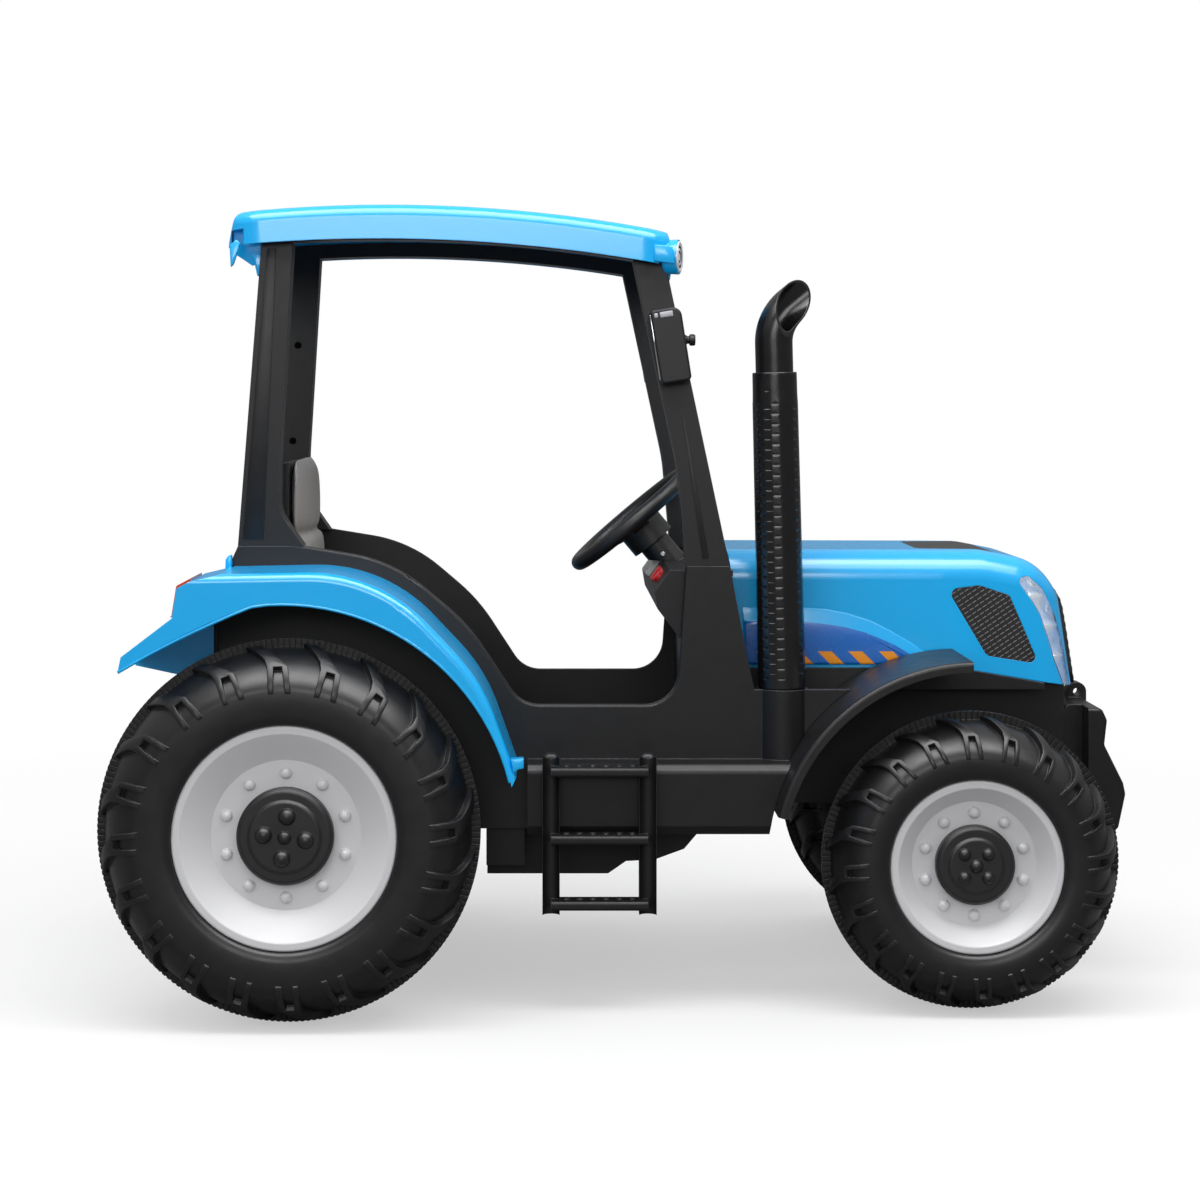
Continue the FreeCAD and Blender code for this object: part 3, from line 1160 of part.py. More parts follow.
def mirror():
    """Left mirror housing on its pin."""
    spot = mirror_spot()
    near = CAB_HALF_WIDTH + MIRROR_GAP
    half_w = MIRROR_W / 2
    half_h = MIRROR_H / 2
    housing = side_prism([(spot.x - half_w, spot.z - half_h, MIRROR_ROUND),
                          (spot.x + half_w, spot.z - half_h, MIRROR_ROUND),
                          (spot.x + half_w, spot.z + half_h, MIRROR_ROUND * 2),
                          (spot.x - half_w, spot.z + half_h, MIRROR_ROUND)], near, near + MIRROR_T)
    housing = softened(housing, MIRROR_ROUND / 2, flat_edges(housing, "Y", near + MIRROR_T))
    housing.rotate(spot, ALONG, -MIRROR_LEAN)
    return joined([housing,
                   rod(spot - ALONG * MIRROR_PIN_IN, Vector(spot.x, near + MERGE, spot.z), MIRROR_PIN_R)])


# Exhaust stack
def exhaust():
    """Perforated sleeve on the side panel's socket and the bent pipe that rises from it."""
    foot = Vector(FRONT_X - STACK_FOOT, -STACK_Y, STEP_Z)
    top = Vector(foot.x - STACK_LEAN, -STACK_Y, STEP_Z + STACK_H)
    axis = unit(top - foot)
    length = (top - foot).Length
    start = foot - axis * OVERRUN
    outer = Part.makeCone(STACK_FOOT_R, STACK_TOP_R, length + OVERRUN, start, axis)
    hollow = Part.makeCone(STACK_FOOT_R - STACK_WALL, STACK_TOP_R - STACK_WALL,
                           length + OVERRUN - STACK_WALL, start, axis)
    sleeve = outer.cut(hollow).cut(rod(foot, top + axis * OVERRUN, PIPE_R + SEAT_GAP))
    below = box(-THROUGH, THROUGH, -THROUGH, THROUGH, 0, STEP_Z)
    save("exhaust_sleeve", sleeve.cut(below))
    pipe = pipe_run(top, axis, PIPE_R, 0).cut(pipe_run(top, axis, PIPE_R - PIPE_WALL, OVERRUN))
    save("exhaust_pipe", pipe.cut(slash(top)))


def pipe_run(top, axis, radius, extra):
    """Filled pipe: straight, bent forward, then straight again."""
    bend_at = top + axis * PIPE_STRAIGHT
    straight = rod(top - axis * (PIPE_SINK + extra), bend_at, radius)
    disc = Part.Face(Part.Wire(Part.makeCircle(radius, bend_at, axis)))
    pivot = bend_at + unit(Vector(axis.z, 0, -axis.x)) * PIPE_BEND_R
    bend = disc.revolve(pivot, ALONG, PIPE_BEND)
    turn = FreeCAD.Rotation(ALONG, PIPE_BEND)
    tail_at = pivot + turn.multVec(bend_at - pivot)
    tail = rod(tail_at, tail_at + turn.multVec(axis) * (PIPE_TAIL + extra), radius)
    return joined([straight, bend, tail])


def slash(top):
    """Room cut away by the slanted mouth of the pipe."""
    turn = math.radians(PIPE_SLASH_TURN)
    tilt = math.radians(PIPE_SLASH_TILT)
    facing = Vector(math.cos(turn) * math.cos(tilt), -math.sin(turn) * math.cos(tilt), math.sin(tilt))
    start = Vector(top.x + PIPE_R, top.y, top.z + PIPE_SLASH_LIFT)
    return rod(start, start + facing * THROUGH, THROUGH)


# Ladders
def ladder():
    """Left ladder: two deep posts and three treads with grip studs."""
    face = SKIRT_HALF + SEAT_GAP
    rear = REAR_X + POST_REAR
    shapes = []
    for x in (rear, rear + POST_SPAN):
        post = plan_prism([(x - POST_R, face), (x + POST_R, face), (x + POST_R, POST_Y, 0, 1),
                           (x - POST_R, POST_Y)],
                          POST_FOOT_Z, POST_TOP_Z)
        front = [e for e in flat_edges(post, "Z", POST_TOP_Z) if e.BoundBox.YMax > POST_Y - NEAR]
        shapes.append(softened(post, POST_ROUND, front))
    pitch = (POST_SPAN - 2 * POST_R) / STUDS
    for top in TREAD_TOPS:
        tread = box(rear, rear + POST_SPAN, face, TREAD_OUT, top - TREAD_T, top)
        edges = [e for e in flat_edges(tread, "Y", TREAD_OUT) if e.BoundBox.XLength > POST_SPAN / 2]
        shapes.append(softened(tread, TREAD_ROUND, edges))
        for i in range(STUDS):
            spot = Vector(rear + POST_R + pitch * (i + 1 / 2), (face + TREAD_OUT) / 2, top - MERGE)
            shapes.append(rod(spot, spot + UP * (MERGE + STUD_H), STUD_R))
    return joined(shapes)


# Steering
def steering_wheel():
    """Rim, three spokes and the hub with its horn recess and shaft socket."""
    hub_top = -STEER_HUB_TOP
    hub_low = hub_top - STEER_HUB_H
    shapes = [Part.makeTorus(STEER_R, STEER_TUBE_R),
              Part.makeCylinder(STEER_HUB_R, STEER_HUB_H, Vector(0, 0, hub_low))]
    for turn in (90, 180, 270):
        spoke = face_of([(STEER_HUB_R - MERGE, hub_top - SPOKE_T), (STEER_R, -SPOKE_T / 2),
                         (STEER_R, SPOKE_T / 2),
                         (STEER_HUB_R - MERGE, hub_top)],
                         lambda p: Vector(p.x, -SPOKE_W / 2, p.y)).extrude(ALONG * SPOKE_W)
        spoke.rotate(Vector(0, 0, 0), UP, turn)
        shapes.append(spoke)
    wheel = joined(shapes)
    depth = HORN_H + HORN_TRAVEL + MOVE_GAP
    wheel = wheel.cut(Part.makeCylinder(HORN_R + BUTTON_PLAY, depth + OVERRUN,
                                        Vector(0, 0, hub_top - depth)))
    wheel = wheel.cut(Part.makeCylinder(SHAFT_R + SEAT_GAP, SHAFT_GRIP + OVERRUN,
                                        Vector(0, 0, hub_low - OVERRUN)))
    save("steering_wheel", column_placed(wheel))
    horn = Part.makeCylinder(HORN_R, HORN_H + HORN_LIFT, Vector(0, 0, hub_top - HORN_H))
    save("horn_button", column_placed(horn))
    cover_top = hub_low - MOVE_GAP
    cover = Part.makeCylinder(COVER_R, COVER_H + COLLAR_H * 2,
                              Vector(0, 0, cover_top - COVER_H - COLLAR_H * 2))
    collar = Part.makeCylinder(COLLAR_R, COLLAR_H * 2, Vector(0, 0, cover_top - COVER_H - COLLAR_H * 2))
    column = cover.fuse(collar).cut(Part.makeCylinder(SHAFT_R + MOVE_GAP, THROUGH, Vector(0, 0, -THROUGH)))
    column = column_placed(column)
    over = box(-THROUGH, THROUGH, -THROUGH, THROUGH, COWL_Z - DASH_TOP_DROP, THROUGH)
    save("column_cover", column.common(over))


def crank_radius():
    """Crank length that moves the tie rod as far as the knuckle arms do at full lock."""
    lock = math.radians(STEER_RANGE)
    return ARM_LENGTH * math.sin(lock * STEER_RATIO_SHARE) / math.sin(lock)


def crank_foot():
    """Lower end of the shaft and the spot where the crank's pin crosses the tie rod."""
    reach = crank_radius()
    end_z = TIE_Z - CRANK_SIDE.z * reach + COLUMN.z * CRANK_PIN_LOW
    end = column_spot((WHEEL_Z - end_z) / COLUMN.z)
    return end, end + CRANK_SIDE * reach - COLUMN * CRANK_PIN_LOW


def steering_shaft():
    """Shaft with the crank and pin at its foot."""
    end, cross = crank_foot()
    reach = crank_radius()
    top = column_spot(STEER_HUB_TOP + STEER_HUB_H - SHAFT_GRIP)
    half = COLUMN * (CRANK_T / 2)
    eye = end + CRANK_SIDE * reach
    web = face_of([(0, -CRANK_EYE_R), (reach, -CRANK_EYE_R), (reach, CRANK_EYE_R), (0, CRANK_EYE_R)],
                  lambda p: end - half + CRANK_SIDE * p.x + ALONG * p.y).extrude(half * 2)
    return joined([rod(end - half, top, SHAFT_R), rod(end - half, end + half, CRANK_EYE_R), web,
                   rod(eye - half, eye + half, CRANK_EYE_R),
                   rod(eye, cross - COLUMN * CRANK_PIN_LOW, CRANK_PIN_R)])


def axle_beam():
    """Cross beam below the nose with a boss for each kingpin."""
    low = NOSE_Z - 2 * BEAM_HALF
    shapes = [box(FRONT_X - BEAM_HALF, FRONT_X + BEAM_HALF, -KINGPIN_Y, KINGPIN_Y, low, NOSE_Z)]
    for side in (-KINGPIN_Y, KINGPIN_Y):
        shapes.append(rod(Vector(FRONT_X, side, low), Vector(FRONT_X, side, NOSE_Z), BEAM_BOSS_R))
    beam = joined(shapes)
    for side in (-KINGPIN_Y, KINGPIN_Y):
        beam = beam.cut(rod(Vector(FRONT_X, side, 0), Vector(FRONT_X, side, THROUGH), KINGPIN_R + RUN_GAP))
    return beam


def knuckle():
    """Left knuckle: kingpin, two ears, plate, stub axle, steering arm and its pin."""
    low = NOSE_Z - 2 * BEAM_HALF - MOVE_GAP
    high = NOSE_Z + MOVE_GAP
    plate_in = KINGPIN_Y + KNUCKLE_REACH
    plate_out = plate_in + KNUCKLE_PLATE
    shapes = [rod(Vector(FRONT_X, KINGPIN_Y, low - EAR_T), Vector(FRONT_X, KINGPIN_Y, high + EAR_T),
                  KINGPIN_R)]
    for foot in (low - EAR_T, high):
        shapes.append(plan_prism([(FRONT_X - BEAM_BOSS_R, KINGPIN_Y, 0, -1),
                                  (FRONT_X + BEAM_BOSS_R, KINGPIN_Y),
                                  (FRONT_X + BEAM_BOSS_R, plate_out), (FRONT_X - BEAM_BOSS_R, plate_out)],
                                  foot, foot + EAR_T))
    shapes.append(box(FRONT_X - KNUCKLE_PLATE_HALF, FRONT_X + KNUCKLE_PLATE_HALF, plate_in, plate_out,
                      FRONT_TYRE_R - KNUCKLE_DROP, high + EAR_T))
    stub_end = FRONT_Y + FRONT_TYRE_W / 2 - DISC_INSET + AXLE_END
    shapes.append(rod(Vector(FRONT_X, plate_in, FRONT_TYRE_R), Vector(FRONT_X, stub_end, FRONT_TYRE_R),
                      STUB_R))
    arm_x = FRONT_X - ARM_LENGTH
    half = ARM_W / 2
    shapes.append(plan_prism([(FRONT_X, KINGPIN_Y - half), (FRONT_X, KINGPIN_Y + half),
                              (arm_x, KINGPIN_Y + half, 0, -1),
                              (arm_x, KINGPIN_Y - half)], low - EAR_T, low))
    shapes.append(rod(Vector(arm_x, KINGPIN_Y, low), Vector(arm_x, KINGPIN_Y, TIE_Z - TIE_T), TIE_PIN_R))
    return joined(shapes)


def tie_rod():
    """Bar between the knuckle arms with the slotted tongue for the crank's pin."""
    x = FRONT_X - ARM_LENGTH
    end, cross = crank_foot()
    low = TIE_Z - TIE_T / 2
    high = TIE_Z + TIE_T / 2
    slot_half = CRANK_PIN_R + SLOT_PLAY
    tongue_half = slot_half + SLOT_RIM
    slot_rear = cross.x - SLOT_LENGTH / 2
    shapes = [box(x - TIE_W / 2, x + TIE_W / 2, -KINGPIN_Y, KINGPIN_Y, low, high),
              box(slot_rear - SLOT_RIM, x, -tongue_half, tongue_half, low, high)]
    for side in (-KINGPIN_Y, KINGPIN_Y):
        shapes.append(rod(Vector(x, side, low), Vector(x, side, high), TIE_EYE_R))
    bar = joined(shapes)
    for side in (-KINGPIN_Y, KINGPIN_Y):
        bar = bar.cut(rod(Vector(x, side, low - OVERRUN), Vector(x, side, high + OVERRUN),
                          TIE_PIN_R + RUN_GAP))
    return bar.cut(box(slot_rear, slot_rear + SLOT_LENGTH, -slot_half, slot_half, low - OVERRUN,
                       high + OVERRUN))


# Seat
def pad_section(place, half, rise, edge):
    """Closed cushion section: flat base, drawn-in sides and a crowned top."""
    shoulder = rise * edge
    spots = [Vector(-half, 0, 0), Vector(half, 0, 0), Vector(half, shoulder, 0), Vector(-half, shoulder, 0)]
    swell = min(half * CORNER_LIMIT_SHARE * (1 - edge) / 2, shoulder / 2 - PAD_GAP)
    bulge = Vector(half + swell, shoulder / 2, 0)
    left = Vector(-bulge.x, bulge.y, 0)
    edges = [Part.makeLine(place(spots[0]), place(spots[1])),
             Part.Arc(place(spots[1]), place(bulge), place(spots[2])).toShape(),
             Part.Arc(place(spots[2]), place(Vector(0, rise, 0)), place(spots[3])).toShape(),
             Part.Arc(place(spots[3]), place(left), place(spots[0])).toShape()]
    return Part.Wire(edges)


def seat():
    """Seat shell on the box, with its base and back cushions."""
    back_x = REAR_X - SEAT_BACK_X
    base_front = back_x + SEAT_SHELL_T + CUSHION_LENGTH
    shell_top = SEAT_DECK_Z + SEAT_SHELL_T
    shell = joined([box(back_x, base_front, -SEAT_HALF, SEAT_HALF, SEAT_DECK_Z, shell_top),
                    box(back_x, back_x + SEAT_SHELL_T, -SEAT_HALF, SEAT_HALF, SEAT_DECK_Z,
                        SEAT_BACK_TOP_Z)])
    save("seat_shell", shell)
    face_x = back_x + SEAT_SHELL_T + PAD_GAP
    length = CUSHION_LENGTH - 2 * PAD_GAP
    wires = []
    for along, full in CUSHION_LONG_SHARES:
        x = face_x + along * length
        wires.append(pad_section(lambda p, x=x: Vector(x, p.x, shell_top + PAD_GAP + p.y),
                                 SEAT_HALF * (1 + full) / 2, CUSHION_H * full, CUSHION_EDGE_SHARE))
    save("seat_cushion", Part.makeLoft(wires, True, False))
    pads = []
    height = BACK_TOP_Z - BACK_LOW_Z
    for shares in (BACK_LEVELS_SHARES, BACK_UPPER_SHARES):
        wires = []
        for level, full in shares:
            wires.append(pad_section(lambda p, a=level: Vector(face_x + p.y, -p.x, BACK_LOW_Z + a * height),
                                     BACK_HALF * (1 + full) / 2, BACK_DEPTH * full, BACK_EDGE_SHARE))
        pads.append(Part.makeLoft(wires, True, False))
    save("back_cushion", joined(pads))


def axle_nuts():
    """Hexagon nuts on the ends of the rear axle."""
    disc_y = REAR_Y + REAR_TYRE_W / 2 - DISC_INSET
    near = Vector(REAR_X, disc_y + MOVE_GAP, REAR_TYRE_R)
    corners = [Vector(NUT_R * math.cos(math.radians(60 * i)), 0,
                      NUT_R * math.sin(math.radians(60 * i))) for i in range(7)]
    nut = Part.Face(Part.makePolygon([near + c for c in corners])).extrude(ALONG * NUT_H)
    nut = nut.cut(rod(near - ALONG * OVERRUN, near + ALONG * (NUT_H + OVERRUN), AXLE_R + RUN_GAP))
    save("axle_nuts", nut, mirrored(nut))


os.makedirs("parts", exist_ok=True)
wheels()
drive()
tub()
pedal()
hood_and_inserts()
save("nose_frame", nose_frame())
save("front_bumper", front_bumper())
save_pair("front_fender", front_fender())
save_pair("rear_fender", rear_fender())
save("tail_lamps", tail_lamp(), mirrored(tail_lamp()))
save_pair("cab_frame", cab_frame())
save("roof_shell", roof_shell())
save("roof_lamps", cab_lamp(0), mirrored(cab_lamp(0)))
save_pair("mirror", mirror())
exhaust()
save_pair("step_ladder", ladder())
steering_wheel()
save("steering_shaft", steering_shaft())
save("front_axle_beam", axle_beam())
save_pair("knuckle", knuckle())
save("tie_rod", tie_rod())
seat()
axle_nuts()
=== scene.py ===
import bmesh
import bpy
import math
from mathutils import Matrix, Vector


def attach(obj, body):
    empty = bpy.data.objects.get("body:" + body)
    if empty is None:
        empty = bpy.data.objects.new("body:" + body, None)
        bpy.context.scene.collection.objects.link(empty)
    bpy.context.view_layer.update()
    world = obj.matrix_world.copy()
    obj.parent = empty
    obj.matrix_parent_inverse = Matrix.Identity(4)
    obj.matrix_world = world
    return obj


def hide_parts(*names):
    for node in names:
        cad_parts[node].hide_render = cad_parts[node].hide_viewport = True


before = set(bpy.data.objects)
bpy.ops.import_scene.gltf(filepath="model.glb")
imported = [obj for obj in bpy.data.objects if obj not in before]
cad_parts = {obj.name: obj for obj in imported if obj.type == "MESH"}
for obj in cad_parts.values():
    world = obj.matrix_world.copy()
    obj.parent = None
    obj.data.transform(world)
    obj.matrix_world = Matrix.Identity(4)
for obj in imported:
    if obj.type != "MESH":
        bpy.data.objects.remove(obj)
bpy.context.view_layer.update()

# Tub
# Floor pan, side panels, rear bulkhead and dash wall are blow moulded in black plastic and screwed
# together along their flanges. The skin has a fine spark grain, and its edges are painted paler: a
# little wear, and a painted highlight along the rounded lips.
MM = 0.001
SIDES = (("left", 1), ("right", -1))
CLOUD_SCALE = 7.0
SMEAR_SCALE = 46.0
EDGE_COSINE = 0.8


def put(tree, kind, sockets, **settings):
    """Add a node, set its options, then fill its sockets with values or links."""
    node = tree.nodes.new(kind)
    for key, value in settings.items():
        setattr(node, key, value)
    for key, value in sockets.items():
        if isinstance(value, bpy.types.NodeSocket):
            tree.links.new(value, node.inputs[key])
        else:
            node.inputs[key].default_value = value
    return node


def calc(tree, operation, *terms):
    """Math node on up to three terms."""
    return put(tree, "ShaderNodeMath", dict(enumerate(terms)), operation=operation).outputs[0]


def shader_group(name, inputs, outputs):
    """Empty shader node group with named sockets: the tree, what it is given and what it puts out."""
    tree = bpy.data.node_groups.new(name, "ShaderNodeTree")
    for label, kind in inputs.items():
        tree.interface.new_socket(label, in_out="INPUT", socket_type="NodeSocket" + kind)
    for label, kind in outputs.items():
        tree.interface.new_socket(label, in_out="OUTPUT", socket_type="NodeSocket" + kind)
    given = tree.nodes.new("NodeGroupInput").outputs
    result = tree.nodes.new("NodeGroupOutput").inputs
    return tree, given, result


def noise(tree, where, scale, detail):
    """Noise value at a place."""
    sockets = {"Vector": where, "Scale": scale, "Detail": detail}
    return put(tree, "ShaderNodeTexNoise", sockets).outputs["Fac"]


skin, given, result = shader_group(
    "moulded skin",
    {"Colour": "Color", "Drift": "Float", "Rough": "Float", "Spread": "Float", "Grain": "Float",
     "Edge": "Float", "Wear and highlight": "Float"},
    {"Colour": "Color", "Roughness": "Float", "Height": "Float"})
where = put(skin, "ShaderNodeTexCoord", {}).outputs["Object"]
cloud = noise(skin, where, CLOUD_SCALE, 3.0)
smear = noise(skin, where, SMEAR_SCALE, 5.0)
pits = noise(skin, where, given["Grain"], 2.0)
swing = calc(skin, "MULTIPLY", calc(skin, "SUBTRACT", cloud, 0.5), given["Drift"])
# Edges are lightened through the bevel mask: a little wear, and at large amounts a painted highlight.
edge_wear_and_highlight = calc(skin, "MULTIPLY", calc(skin, "MULTIPLY", given["Edge"], smear), given["Wear and highlight"])
tone = calc(skin, "ADD", calc(skin, "ADD", swing, edge_wear_and_highlight), 1.0)
tinted = put(skin, "ShaderNodeVectorMath", {0: given["Colour"], "Scale": tone}, operation="SCALE")
skin.links.new(tinted.outputs[0], result["Colour"])
sheen = calc(skin, "MULTIPLY_ADD", calc(skin, "SUBTRACT", smear, 0.5), given["Spread"], given["Rough"])
skin.links.new(sheen, result["Roughness"])
skin.links.new(pits, result["Height"])


def moulded(name, colour, rough, drift=0.3, spread=0.16, grain=900.0, dent=0.03, wear_and_highlight=1.0, round_off=1.0,
            shine=0.5, **more):
    """Moulded plastic or metal: grain and paler edges from the group, the edges a mix of wear and painted
    highlight, with dent and round_off in mm.
    """
    material = bpy.data.materials.new(name)
    material.use_nodes = True
    tree = material.node_tree
    shade = tree.nodes["Principled BSDF"]
    soft = put(tree, "ShaderNodeBevel", {"Radius": round_off * MM}, samples=6).outputs["Normal"]
    true = put(tree, "ShaderNodeNewGeometry", {}).outputs["Normal"]
    turn = put(tree, "ShaderNodeVectorMath", {0: soft, 1: true}, operation="DOT_PRODUCT").outputs["Value"]
    edge = put(tree, "ShaderNodeMapRange", {"Value": turn, "From Min": 1.0, "From Max": EDGE_COSINE})
    made = put(tree, "ShaderNodeGroup",
               {"Colour": (*colour, 1.0), "Drift": drift, "Rough": rough, "Spread": spread, "Grain": grain,
                "Edge": edge.outputs[0], "Wear and highlight": wear_and_highlight}, node_tree=skin).outputs
    bump = put(tree, "ShaderNodeBump", {"Distance": dent * MM, "Height": made["Height"], "Normal": soft})
    tree.links.new(made["Colour"], shade.inputs["Base Color"])
    tree.links.new(made["Roughness"], shade.inputs["Roughness"])
    tree.links.new(bump.outputs[0], shade.inputs["Normal"])
    shade.inputs["Specular IOR Level"].default_value = shine
    for label, value in more.items():
        shade.inputs[label.replace("_", " ").title()].default_value = value
    return material


def dress(material, *names):
    """Give CAD nodes a finish."""
    for name in names:
        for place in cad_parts[name].material_slots:
            place.material = material


# Its edges are lightened strongly: a painted highlight along the rounded lips of the tub.
tub_black = moulded("tub black", (0.006, 0.006, 0.007), 0.42, wear_and_highlight=16.0, round_off=1.6, shine=0.3)
dress(tub_black, "floor_pan", "left_side_panel", "right_side_panel", "rear_bulkhead", "dash_panel")


# Drive
# Two gearboxes with can motors, a battery and a control box are screwed to the floor below the seat.
# The cases are matt grey-black mouldings, and the axle, nuts and motor cans are plated steel.
case_grey = moulded("case grey", (0.055, 0.055, 0.058), 0.6, grain=1400.0)
plated = moulded("plated steel", (0.50, 0.50, 0.51), 0.32, grain=2200.0, dent=0.01, wear_and_highlight=0.2, metallic=1.0)
dress(case_grey, "gearboxes", "battery_pack", "control_box")
dress(plated, "rear_axle", "axle_nuts", "drive_motors")


# Nose and bumper
# The nose frame carries the hood, and the weight block with its tow lug is bolted to its front.
# Both are black mouldings; the block is glossier, with rounder edges.
# Its edges are lightened: a painted highlight on the rounded corners.
block_black = moulded("weight block black", (0.006, 0.006, 0.007), 0.34, wear_and_highlight=6.0, round_off=2.0, shine=0.35)
dress(tub_black, "nose_frame")
dress(block_black, "front_bumper")


# Front axle and steering linkage
# A pressed steel beam, two knuckles and a tie rod, zinc plated and left bare under the nose.
dress(plated, "front_axle_beam", "left_knuckle", "right_knuckle", "tie_rod")


# Wheels
# Each blow-moulded tyre has twenty bent lugs a side that fork over the shoulder, and a toothed band
# round its middle. White dished rims are held by a black cap with five domes.
# The lug edges are lightened: painted highlights that stand for bright bevel glints.
tyre_black = moulded("tyre black", (0.007, 0.007, 0.008), 0.36, spread=0.22, grain=700.0, dent=0.04, wear_and_highlight=8.0,
                     round_off=0.8, shine=0.4)
rim_white = moulded("rim white", (0.64, 0.64, 0.66), 0.42, drift=0.05, grain=1100.0, dent=0.02, wear_and_highlight=0.08)
cap_black = moulded("cap black", (0.007, 0.007, 0.008), 0.40, grain=1000.0, dent=0.05)

# Per axle: x and y of the wheel's middle, radius, half width, shoulder and bead radius, lug scale and
# first angle.
AXLES = {"rear": (-427, 325, 240, 75, 189, 139, 1.0, 91.5), "front": (437, 256, 190, 67.5, 146, 110, 0.8, 92)}
TREAD_H = 11
WALL_INSET = 2.5
ARC_STEPS = 9
CARCASS_STEPS = 120
LUGS = 20
# A lug's corners in mm round the tyre and across it from the middle, its faces, and its rise across the tyre.
LUG_PLAN = [(47, 5), (33, 5), (19, 30), (35, 30), (0, 53), (20, 53), (-11, 64), (-3, 65), (8, 65), (17, 64),
            (-18, 97), (-9, 97), (9, 97), (17, 97)]
LUG_FACES = [(0, 1, 2, 3), (3, 2, 4, 5), (5, 4, 6, 7, 8, 9), (6, 10, 11, 7), (8, 12, 13, 9)]
LUG_RISE = [(5, 6.0), (30, 8.4), (53, 8.4), (65, 7.6), (97, 1.6)]
LUG_SHOULDER = 87.0
LUG_ROOT = -3.0
LUG_EASE = 1.3
LUG_LONG_EDGE = 14
TOOTH_GAP = 1.2
TOOTH_SHARE = 0.62
TOOTH_W = 3.2
TOOTH_H = 14
TOOTH_Y = 1.8
TOOTH_SINK = 7.1


def finished(name, bm, material, body, crease=32.0):
    """Close a bmesh into a smooth-shaded piece that rides on a body and takes a finish slot."""
    bmesh.ops.remove_doubles(bm, verts=bm.verts, dist=0.002 * MM)
    bmesh.ops.recalc_face_normals(bm, faces=bm.faces)
    mesh = bpy.data.meshes.new(name)
    bm.to_mesh(mesh)
    bm.free()
    mesh.materials.append(material)
    mesh.shade_smooth()
    mesh.set_sharp_from_angle(angle=math.radians(crease))
    piece = bpy.data.objects.new(name, mesh)
    bpy.context.scene.collection.objects.link(piece)
    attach(piece, body)
    return piece


def spun(bm, section, centre, steps):
    """Spin a closed section of (across, radius) points in mm round a wheel's axle."""
    spots = [bm.verts.new(centre + Vector((0, across, radius)) * MM) for across, radius in section]
    loop = [bm.edges.new((spot, spots[i - 1])) for i, spot in enumerate(spots)]
    bmesh.ops.spin(bm, geom=spots + loop, cent=centre, axis=(0, 1, 0), angle=2 * math.pi, steps=steps,
                   use_merge=True)


def repeated(bm, centre, count):
    """Repeat all of a bmesh evenly round a wheel's axle."""
    bmesh.ops.spin(bm, geom=bm.verts[:] + bm.edges[:] + bm.faces[:], cent=centre, axis=(0, 1, 0),
                   angle=2 * math.pi * (count - 1) / count, steps=count - 1, use_duplicate=True)


def joined(bm, other):
    """Take another bmesh into the first one."""
    spare = bpy.data.meshes.new("spare")
    other.to_mesh(spare)
    other.free()
    bm.from_mesh(spare)
    bpy.data.meshes.remove(spare)


def eased(bm, edges, offset, segments):
    """Round some edges of a bmesh off."""
    bmesh.ops.bevel(bm, geom=edges, offset=offset, offset_type="OFFSET", segments=segments, profile=0.5,
                    affect="EDGES", material=-1)


def flat_lug(size, reach):
    """Bmesh of one lug laid flat, in mm: round the tyre, across it and up."""
    lug = bmesh.new()
    spots = [lug.verts.new((u * size, v * reach, LUG_ROOT)) for u, v in LUG_PLAN]
    sheet = [lug.faces.new([spots[i] for i in face]) for face in LUG_FACES]
    grown = bmesh.ops.extrude_face_region(lug, geom=sheet)["geom"]
    top = [v for v in grown if isinstance(v, bmesh.types.BMVert)]
    for spot in top:
        v = spot.co.y / reach
        for (v0, w0), (v1, w1) in zip(LUG_RISE, LUG_RISE[1:]):
            if v0 - 0.1 <= v <= v1 + 0.1:
                spot.co.z = w0 + (w1 - w0) * (v - v0) / (v1 - v0)
    bmesh.ops.recalc_face_normals(lug, faces=lug.faces)
    brim = [e for e in lug.edges if all(v in top for v in e.verts) and len(e.link_faces) == 2
            and e.calc_face_angle() > 0.5]
    eased(lug, brim, LUG_EASE, 2)
    cross = [e for e in lug.edges if e.calc_length() > LUG_LONG_EDGE]
    bmesh.ops.subdivide_edges(lug, edges=cross, cuts=2)
    return lug


